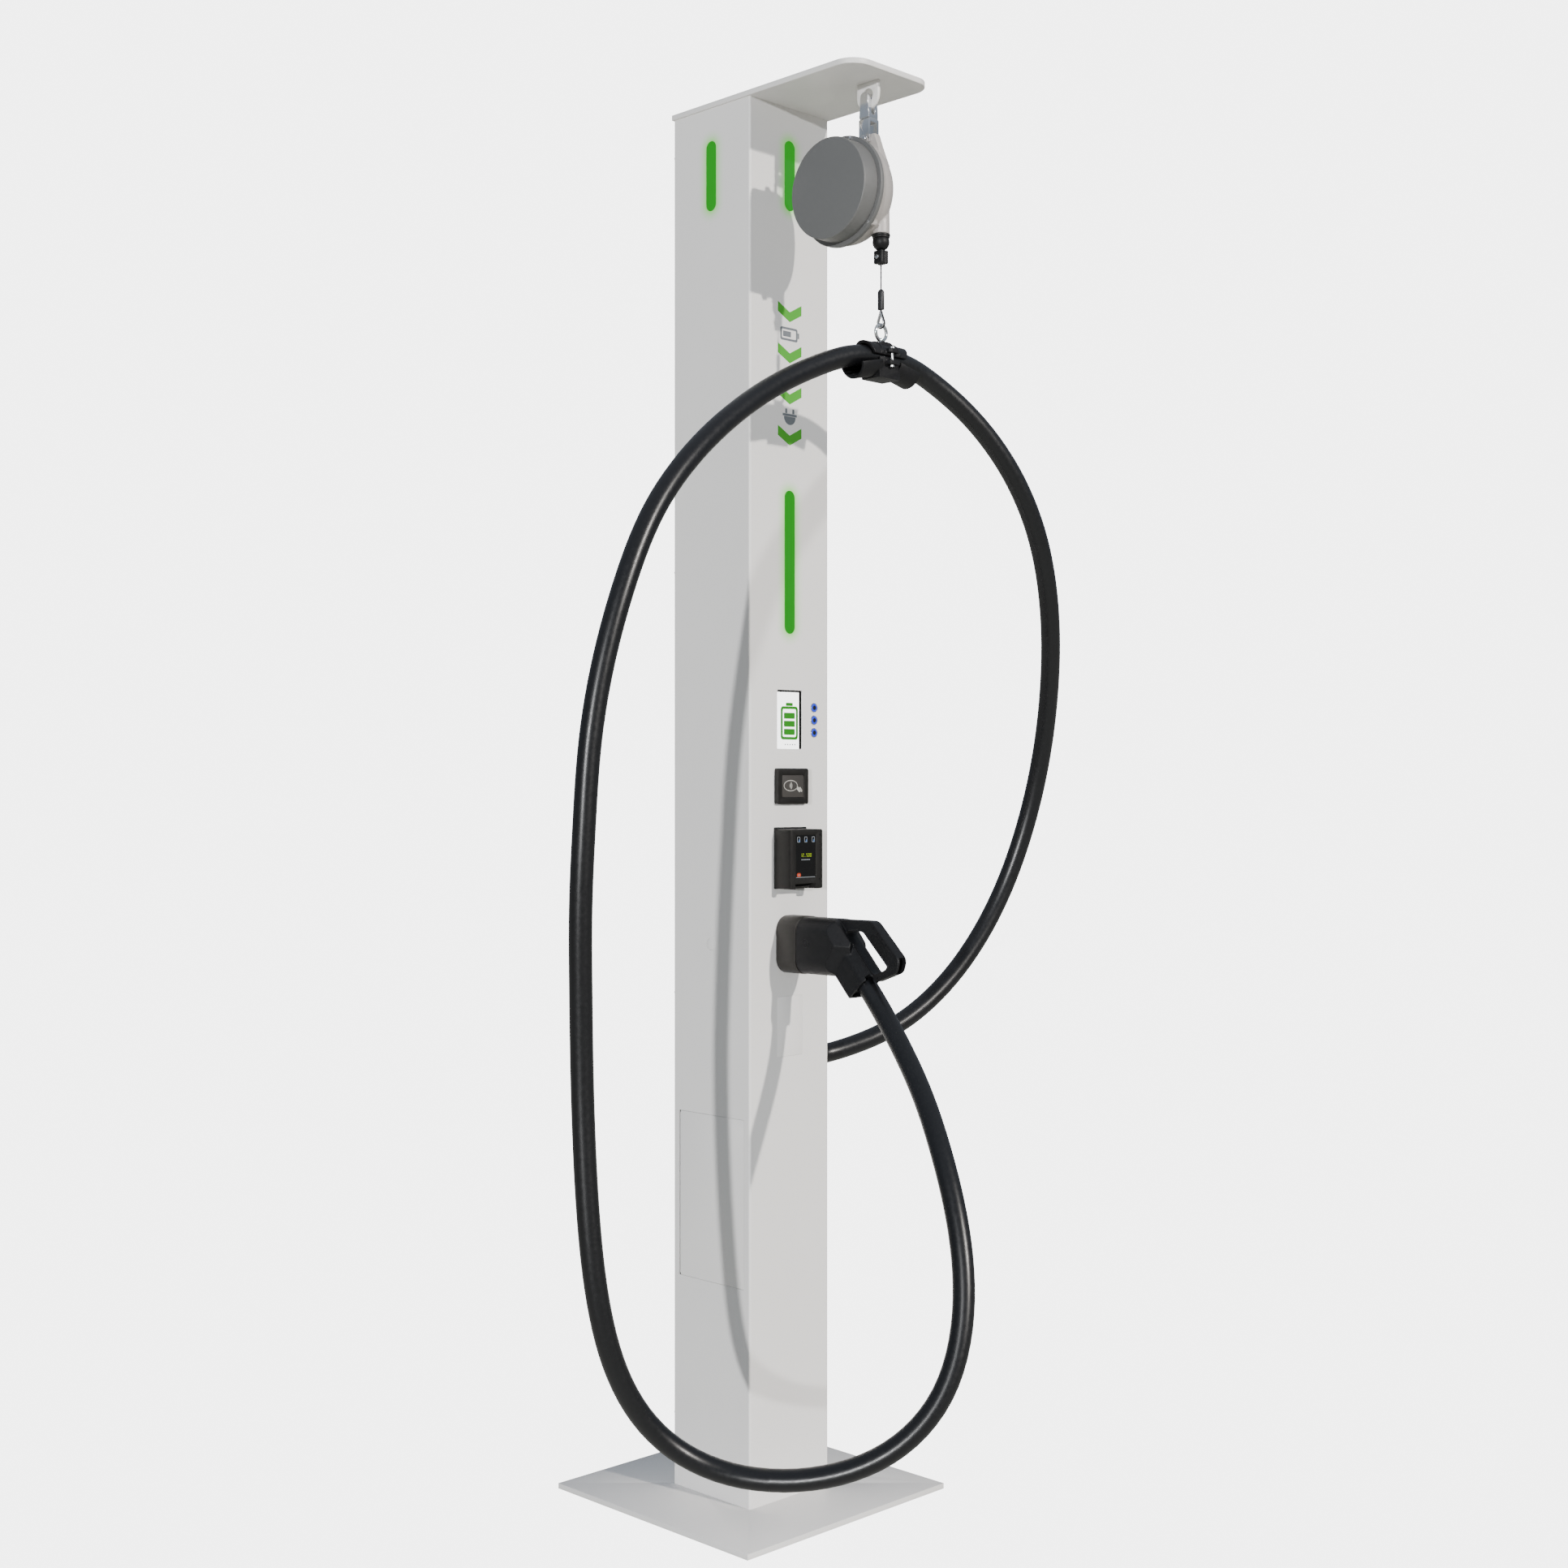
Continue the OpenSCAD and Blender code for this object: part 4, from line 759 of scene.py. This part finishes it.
lo, hi = mm("ferrule")
shape = [(hi.z, 0.30), (hi.z - 0.5, 0.52), (hi.z - 1.6, 0.74), (hi.z - 3.2, 0.90), (hi.z - 5.2, 0.98),
         (hi.z - 7, 1.0), (lo.z + 0.8, 1.0), (lo.z, 0.94)]
ferrule = loft("ferrule_skin", [[(x * k, ROPE_Y + y * k, z) for x, y in rounded(8.4, 12.5, 4.1)]
                                for z, k in shape], "rope")
stand(smooth(ferrule, 40), "ferrule")

lo, hi = mm("thimble")
eye_r = (hi.y - lo.y) / 2
eye_z = lo.z + eye_r


def teardrop(x, r, top):
    lean = math.degrees(math.acos(r / (top - eye_z)))
    pts = arc(ROPE_Y, eye_z, r, 90 + lean, 450 - lean, 36)
    pts += [(pts[-1][0] + (ROPE_Y - pts[-1][0]) * t, pts[-1][1] + (top - pts[-1][1]) * t)
            for t in (0.33, 0.66, 0.97)]
    pts += [(2 * ROPE_Y - y, z) for y, z in reversed(pts[-3:])]
    return [(x, y, z) for y, z in pts]


rims = [sweep("rim", teardrop(x, eye_r - 1.3, hi.z - 1), 1.2, "steel", sides=12, closed=True)
        for x in (-2.0, 2.0)]
groove = sweep("groove", teardrop(0, eye_r - 1.5, hi.z - 1.5), 1.0, "steel", sides=12, closed=True)
thimble = join(rims[0], [rims[1], groove])
thimble.name = "thimble_skin"
stand(smooth(thimble, 60), "thimble")
loop = sweep("rope_eye", teardrop(0, eye_r + 0.2, hi.z + 1.5), 1.25, "rope", sides=18, closed=True,
             lobes=6, twist=0.32)
extra(smooth(loop, 60), "rope")

lo, hi = mm("eye_bolt")
wire = 3.0
ring_r = (hi.x - lo.x) / 2 - wire
ring_z = hi.z - wire - ring_r
ring = sweep("eye_bolt_skin", [(ring_r * math.cos(2 * math.pi * k / 64), ROPE_Y,
                                ring_z + ring_r * math.sin(2 * math.pi * k / 64)) for k in range(64)],
             wire, "chrome", sides=24, closed=True)
seat = ring_z - ring_r - 1.5
stem = lathe("stem", [(0, lo.z), (3.9, lo.z), (3.9, seat), (6.0, seat + 1), (6.0, seat + 2.5),
                      (0, seat + 3)], (0, ROPE_Y, 0), (0, 0, 1), "chrome", n=32)
nut_r = 7.5
nut = prism("nut", [(nut_r * math.cos(math.radians(a)), ROPE_Y + nut_r * math.sin(math.radians(a)))
                    for a in range(0, 360, 60)], seat - 0.2, seat + 4.5, "z", "chrome")
stand(smooth(join(ring, [stem, applied(bevel(nut, 0.6, 2))]), 40), "eye_bolt")

# The upper half of the cable clamp: two shells over the cable, a raised boss and ears for the bolts
lo, hi = mm("clamp_saddle")
shell_in, shell_out = 18.6, 24.2
half_round = arc(ROPE_Y, CLAMP_Z, shell_out, 2, 178, 28) + arc(ROPE_Y, CLAMP_Z, shell_in, 178, 2, 28)
saddle = prism("clamp_saddle_skin", half_round, lo.x, hi.x, "x", "black")
ends = [prism("end", [(side * (hi.x + 4), CLAMP_Z - 8), (side * (hi.x + 4), CLAMP_Z + 32),
                      (side * (hi.x + 1), CLAMP_Z + 32), (side * (hi.x - 17), CLAMP_Z - 8)],
              ROPE_Y - 40, ROPE_Y + 40, "y", "black") for side in (-1, 1)]
cut(saddle, *ends)
boss = prism("boss", [(-17, CLAMP_Z + 15), (17, CLAMP_Z + 15), (15, CLAMP_Z + 24), (9, hi.z), (-9, hi.z),
                      (-15, CLAMP_Z + 24)], ROPE_Y - 13, ROPE_Y + 13, "y", "black")
ears = prism("ears", rounded(24, hi.y - lo.y, 5, cy=ROPE_Y), CLAMP_Z + 5, CLAMP_Z + 12, "z", "black")
ribs = [prism("rib", arc(ROPE_Y, CLAMP_Z, shell_out + 1.8, 8, 172, 24)
              + arc(ROPE_Y, CLAMP_Z, shell_in + 2, 172, 8, 24), side * 21 - 2, side * 21 + 2, "x", "black")
        for side in (-1, 1)]
join(saddle, [boss, ears] + ribs)
way = lathe("way", [(0, lo.x - 10), (shell_in, lo.x - 10), (shell_in, hi.x + 10), (0, hi.x + 10)],
            (0, ROPE_Y, CLAMP_Z), (1, 0, 0), "black", n=64)
fused(saddle, 0.9, rounds=2)
stand(smooth(cut(saddle, way), 50), "clamp_saddle")

# ---------------------------------------------------------------- plug

BACK = mm("connector_shell")[1].y                   # the plug's shoulder at the holder
MIDDLE = 1005                                       # height of the holder's middle
HALF_W, HALF_H = 34, 50.5
WAIST = BACK - 92                                   # where the body turns into the handle
SLAB = 11                                           # half the handle's thickness
BLOCK_W, BLOCK_H = 46, 66
AXIS = Matrix.Translation(EXIT * 0.001) @ Matrix.Rotation(math.radians(90) + TILT, 4, "X")

body = prism("connector_shell_skin", rounded(2 * HALF_W, 2 * HALF_H, 26, cy=MIDDLE),
             WAIST - 27, BACK, "y", "black")
for side in (-1, 1):
    sliced(body, (side * HALF_W, WAIST, MIDDLE + 5), (side * 0.863, -0.404, 0.303))
    sliced(body, (side * HALF_W, WAIST, MIDDLE + 5), (side * 0.892, -0.385, -0.236))
sliced(body, (0, WAIST - 9, MIDDLE + 31), (0, -math.sin(TILT), math.cos(TILT)))

branch_w, branch_h = BLOCK_W / 2, BLOCK_H / 2
branch = prism("branch", softened([(-branch_w, -branch_h), (branch_w, -branch_h), (branch_w, 12), (12, 32),
                                   (-12, 32), (-branch_w, 12)], 6), -86, -4, "z", "black")
turned(branch, AXIS)

handle_edge = softened([(WAIST + 46, MIDDLE), (WAIST + 26, MIDDLE + 49.5), (WAIST - 69, MIDDLE + 50.5),
                        (WAIST - 133, MIDDLE - 13), (WAIST - 127, MIDDLE - 36), (WAIST - 84, MIDDLE - 52),
                        (WAIST - 70, MIDDLE - 57), (WAIST - 62, MIDDLE - 60), (WAIST - 23, MIDDLE - 84),
                        (WAIST + 14, MIDDLE - 46)], 9)
finger_edge = softened([(WAIST - 13, MIDDLE + 31), (WAIST - 50, MIDDLE + 31), (WAIST - 107, MIDDLE - 26),
                        (WAIST - 102, MIDDLE - 32), (WAIST - 78, MIDDLE - 42), (WAIST - 70, MIDDLE - 37),
                        (WAIST - 14, MIDDLE + 25)], 5)
handle = prism("handle", handle_edge, -SLAB, SLAB, "x", "black")
cut(handle, prism("gap", finger_edge, -3 * SLAB, 3 * SLAB, "x", "black"))
applied(bevel(handle, 3.5, 4, angle=50))
rim = [sweep("rim", [(side * (SLAB - 1.2), y, z) for y, z in finger_edge], 3.0, "black", sides=12,
             closed=True) for side in (-1, 1)]
join(body, [branch, handle] + rim)
fused(body, 1.0, rounds=4)
tip = prism("tip", softened([(WAIST - 145, MIDDLE - 2), (WAIST - 121, MIDDLE - 14),
                             (WAIST - 113, MIDDLE - 36), (WAIST - 140, MIDDLE - 48)], 5),
            -SLAB + 4, SLAB - 4, "x", "black")
way = turned(lathe("way", [(0, -25), (19, -25), (19, 40), (0, 40)], (0, 0, 0), (0, 0, 1), "black",
                   n=64), AXIS)
mouth = turned(prism("mouth", rounded(BLOCK_W - 9, BLOCK_H - 9, 6), -10, 20, "z", "black"), AXIS)
gap = prism("gap", finger_edge, -3 * SLAB, 3 * SLAB, "x", "black")
cut(body, tip, way, mouth, gap)
stand(smooth(body, 45), "connector_shell")

# Grip pads, dark strips over the handle's outer edge whose darkness is painted shade of its grooves, a
# screw and a moulded sign on the side
for side in (-1, 1):
    face = side * SLAB
    pad = prism("grip_pad", ellipse(WAIST - 86, MIDDLE + 8, 25, 9, 45), min(face, face + side * 0.5),
                max(face, face + side * 0.5), "x", "grip")
    extra(smooth(applied(bevel(pad, 0.25, 2)), 40), "connector_shell")
    screw = lathe("handle_screw", [(0, 0.3), (1.4, 0.3), (1.9, 0), (1.9, -1), (0, -1)],
                  (face, WAIST - 84, MIDDLE - 47), (side, 0, 0), "rib", n=20)
    extra(smooth(screw, 40), "connector_shell")
    flank = side * HALF_W
    sign = sweep("side_ring", [(flank, -173 + 7.5 * math.cos(math.radians(a)),
                                MIDDLE + 6 + 7.5 * math.sin(math.radians(a))) for a in range(0, 360, 9)],
                 0.45, "black", sides=8, closed=True)
    spark = prism("side_bolt", [(-171, MIDDLE + 11), (-176, MIDDLE + 5.5), (-173.2, MIDDLE + 5.5),
                                (-175, MIDDLE + 1), (-170, MIDDLE + 7), (-172.8, MIDDLE + 7)],
                  min(flank, flank + side * 0.3), max(flank, flank + side * 0.3), "x", "black")
    extra(smooth(join(sign, [spark]), 40), "connector_shell")
edge_dir = Vector((-62, -63.5)).normalized()
outward = Vector((edge_dir.y, -edge_dir.x))
# Dark strips for the grooves over the handle's edge: painted shade.
for k in range(4):
    at = Vector((WAIST - 66, MIDDLE + 50.5)) + edge_dir * (14 + 13.5 * k)
    pts = [at + outward * 0.35 - edge_dir * 0.6, at + outward * 0.35 + edge_dir * 0.6,
           at - outward * 5 + edge_dir * 0.6, at - outward * 5 - edge_dir * 0.6]
    extra(prism("handle_groove_shade", [tuple(p) for p in pts], -SLAB - 0.2, SLAB + 0.2, "x", "rib"),
          "connector_shell")

# ---------------------------------------------------------------- front panel

FRONT = -100


def decal(name, outline, face, finish, node, thick=0.15):
    """A flat mark on a face that looks along -Y: mostly print, and in places painted shade."""
    return extra(prism(name, outline, face - thick, face, "y", finish), node)


def ring_decal(name, outer, inner, face, finish, node, thick=0.15):
    return extra(band(name, outer, inner, face - thick, face, "y", finish), node)


def box_at(x0, z0, x1, z1):
    return [(x0, z0), (x1, z0), (x1, z1), (x0, z1)]


# Buttons: a chrome bezel, a lit blue ring and a dark middle
for node in ("button_cap_top", "button_cap_middle", "button_cap_bottom"):
    lo, hi = mm(node)
    cap_r = (hi.x - lo.x) / 2
    middle = Vector(((lo.x + hi.x) / 2, 0, (lo.z + hi.z) / 2))
    cap = lathe(node + "_skin", [(0, hi.y), (cap_r, hi.y), (cap_r, lo.y + 0.9), (cap_r - 0.5, lo.y),
                                 (cap_r - 2.4, lo.y), (cap_r - 2.6, lo.y + 0.5), (0, lo.y + 0.5)],
                middle, (0, 1, 0), "blue", n=48)
    stand(smooth(cap, 35), node)
    eye = lathe(node + "_middle", [(0, lo.y + 0.55), (cap_r - 2.7, lo.y + 0.55), (cap_r - 2.7, lo.y + 0.2),
                                   (cap_r - 3.2, lo.y), (0, lo.y + 0.5)],
                middle, (0, 1, 0), "terminal", n=48)
    extra(smooth(eye, 35), node)
    bezel_r = 9
    bezel = lathe("bezel", [(bezel_r - 1, 0), (bezel_r, 0), (bezel_r, -0.6), (bezel_r - 0.7, -1.5),
                            (cap_r + 0.6, -1.5), (cap_r + 0.15, -1.1), (cap_r + 0.15, 8),
                            (bezel_r - 1, 22)],
                  middle + Vector((0, FRONT, 0)), (0, 1, 0), "chrome", n=48, closed=True)
    extra(smooth(bezel, 35), "button_bezels")
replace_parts(bezel, "button_bezels")

# The display shows a battery that is being charged
lo, hi = mm("display_glass")
face = lo.y
ring_decal("battery", rounded(44, 60, 6, 4, 1402), rounded(34, 50, 3, 4, 1402), face, "screen_green",
           "display_glass")
decal("battery_top", rounded(18, 6, 1.5, 4, 1435.5), face, "screen_green", "display_glass")
for n in range(3):
    decal("battery_level", rounded(28, 11, 1.5, 4, 1386 + 14.5 * n), face, "screen_green", "display_glass")
for n in range(5):
    decal("display_dot", ellipse(-6 + 6 * n, 1363, 1.3, 1.3, n=16), face, "screen_grey", "display_glass")

# Dark strips along the screen's right and top edges: painted shade of the recess walls.
decal("display_recess_shade", box_at(hi.x - 3.2, lo.z, hi.x, hi.z), face, "dark", "display_glass")
decal("display_recess_shade", box_at(lo.x, hi.z - 3.2, hi.x - 3.2, hi.z), face, "dark", "display_glass")

# The card reader's pad shows a ring, a card and waves
face = mm("reader_pad")[0].y
z = 1289
ring_decal("reader_ring", ellipse(-5.5, z, 17.5, 10), ellipse(-5.5, z, 16.2, 8.7), face, "ink",
           "reader_pad")
decal("reader_card", [(8, z - 5), (17, z - 12), (21, z - 8), (12, z - 1)], face, "ink", "reader_pad")
decal("reader_hand", softened([(15, z - 4), (22, z - 12), (24, z - 9), (19, z - 2)], 1.5), face, "ink",
      "reader_pad")
for r in (3.5, 6.0, 8.5):
    outer = arc(-10, z, r, -48, 48, 10)
    inner = arc(-10, z, r - 1.3, 48, -48, 10)
    decal("reader_wave", outer + inner, face, "ink", "reader_pad")

# The terminal's screen: three signs, an amount, a dashed line, a red key and a base line
face = mm("terminal_screen")[0].y
for x in (-20, -2, 17):
    ring_decal("way_to_pay", rounded(7, 10, 1.5, x, 1193), rounded(5.4, 8.4, 0.8, x, 1193), face,
               "text_white", "terminal_screen")
    decal("way_arrow", [(x - 1, 1189), (x + 4, 1189), (x + 1.5, 1194)], face, "text_blue",
          "terminal_screen", thick=0.25)
SEGMENTS = {"a": box_at(0.5, 5.4, 2.7, 6.3), "b": box_at(2.4, 3.3, 3.3, 6.0),
            "c": box_at(2.4, 0.3, 3.3, 3.0), "d": box_at(0.5, 0.0, 2.7, 0.9),
            "e": box_at(-0.1, 0.3, 0.8, 3.0), "f": box_at(-0.1, 3.3, 0.8, 6.0),
            "g": box_at(0.5, 2.7, 2.7, 3.6), ".": box_at(0.8, 0.0, 2.0, 1.2)}
for n, lit in enumerate(("bc", "abged", ".", "afgcd", "abcdef", "abcdef")):
    x = -15 + 4.8 * n
    for s in lit:
        decal("amount", [(x + a, 1162 + b) for a, b in SEGMENTS[s]], face, "text_lime", "terminal_screen")
for n in range(7):
    decal("dash", box_at(-13 + 3.2 * n, 1156.2, -10.8 + 3.2 * n, 1157.8), face, "text_white",
          "terminal_screen")
decal("red_key", rounded(10, 7, 3.4, -19.5, 1130), face, "text_red", "terminal_screen")
decal("red_key_bar", box_at(-21.5, 1129.3, -17.5, 1130.8), face - 0.15, "text_white", "terminal_screen")
decal("base_line", box_at(-26.5, 1125.4, 21.5, 1126.3), face, "text_white", "terminal_screen")
face = mm("terminal_housing")[0].y
# Dark discs where the housing has holes: painted shade of the holes.
for x, z, r in ((34, 1201, 2.0), (33, 1188, 0.9), (33, 1183.2, 0.9), (33, 1178.4, 0.9), (33, 1173.6, 0.9),
                (32, 1122, 1.6)):
    decal("terminal_hole_shade", ellipse(x, z, r, r, n=20), face, "rib", "terminal_housing", thick=0.08)

# Signs on the column: a plug, a bolt and a battery in grey, with green chevrons between them
SIGN_LOW, SIGN_STEP, SIGN_W = 1905, 74, 30
for n in range(4):
    z = SIGN_LOW + SIGN_STEP * n
    decal("chevron", [(-SIGN_W, z + 12), (0, z - 4), (SIGN_W, z + 12), (SIGN_W, z + 30), (0, z + 14),
                      (-SIGN_W, z + 30)], FRONT, "green", "column_shell")
for n, sign in enumerate(("plug", "bolt", "battery")):
    z = SIGN_LOW + 44 + SIGN_STEP * n
    if sign == "plug":
        decal("plug_head", arc(0, z + 4, 15, 0, -180, 20), FRONT, "film", "column_shell")
        decal("plug_top", box_at(-18, z + 4.5, 18, z + 9), FRONT, "film", "column_shell")
        for x in (-9, 9):
            decal("plug_pin", box_at(x - 2.5, z + 9.5, x + 2.5, z + 18), FRONT, "film", "column_shell")
    elif sign == "bolt":
        decal("bolt", [(6, z + 18), (-14, z + 1), (-2, z + 1), (-7, z - 12), (14, z + 6), (2, z + 6)],
              FRONT, "film", "column_shell")
    else:
        ring_decal("cell", rounded(44, 24, 4, -2, z + 4), rounded(36, 16, 2, -2, z + 4), FRONT, "film",
                   "column_shell")
        decal("cell_top", box_at(20.5, z - 1, 24, z + 9), FRONT, "film", "column_shell")
        decal("cell_level", box_at(-17, z - 1, 3, z + 9), FRONT, "film", "column_shell")

# ---------------------------------------------------------------- floor, backdrop and light


def backdrop(name, strength, tint):
    """A glow that only the camera sees, so that it doesn't light the post."""
    m = bpy.data.materials.new(name)
    m.use_nodes = True
    b = m.node_tree.nodes["Principled BSDF"]
    b.inputs["Base Color"].default_value = (*tint, 1)
    b.inputs["Roughness"].default_value = 0.9
    b.inputs["Emission Color"].default_value = (1, 1, 1, 1)
    b.inputs["Emission Strength"].default_value = strength
    return m


def only_seen(o):
    o.visible_diffuse = False
    o.visible_glossy = False
    o.visible_transmission = False
    o.visible_shadow = False


bpy.ops.mesh.primitive_plane_add(size=50, location=(0, 0, 0))
floor = bpy.context.object
floor.name = "floor"
floor.data.materials.append(backdrop("floor_glow", 5.0, (0, 0, 0)))
only_seen(floor)

bpy.ops.mesh.primitive_uv_sphere_add(segments=48, ring_count=24, radius=28, location=(0, 0, 0))
dome = bpy.context.object
dome.name = "dome"
dome.data.materials.append(backdrop("dome_glow", 5.0, (0, 0, 0)))
only_seen(dome)

world = bpy.data.worlds.new("world")
bpy.context.scene.world = world
world.use_nodes = True
wg = Graph(world.node_tree)
direction = wg.node("ShaderNodeTexCoord").outputs["Generated"]
parts = wg.node("ShaderNodeSeparateXYZ")
wg.link(direction, parts.inputs[0])
ramp = wg.node("ShaderNodeValToRGB")
wg.link(wg.remap(parts.outputs["Z"], -1.0, 1.0, 0.0, 1.0), ramp.inputs[0])
stops = ramp.color_ramp.elements
stops[0].position, stops[0].color = 0.0, (0.95, 0.95, 0.88, 1)
stops[1].position, stops[1].color = 1.0, (0.62, 0.68, 0.78, 1)
for at, shade in ((0.46, (0.42, 0.42, 0.40, 1)), (0.52, (0.28, 0.32, 0.37, 1))):
    stops.new(at).color = shade
bg = world.node_tree.nodes["Background"]
wg.link(ramp.outputs[0], bg.inputs[0])
bg.inputs[1].default_value = 0.80


def sun(name, towards, energy, color, softness):
    data = bpy.data.lights.new(name, "SUN")
    data.energy = energy
    data.angle = math.radians(softness)
    data.color = color
    o = link(bpy.data.objects.new(name, data))
    o.rotation_euler = Vector(towards).to_track_quat("-Z", "Y").to_euler()


sun("front_sun", (-0.121, 0.930, -0.348), 3.6, (1.0, 0.955, 0.905), 1.5)
sun("side_sun", (0.9, 0.434, -0.08), 2.8, (0.985, 0.99, 1.0), 1.5)
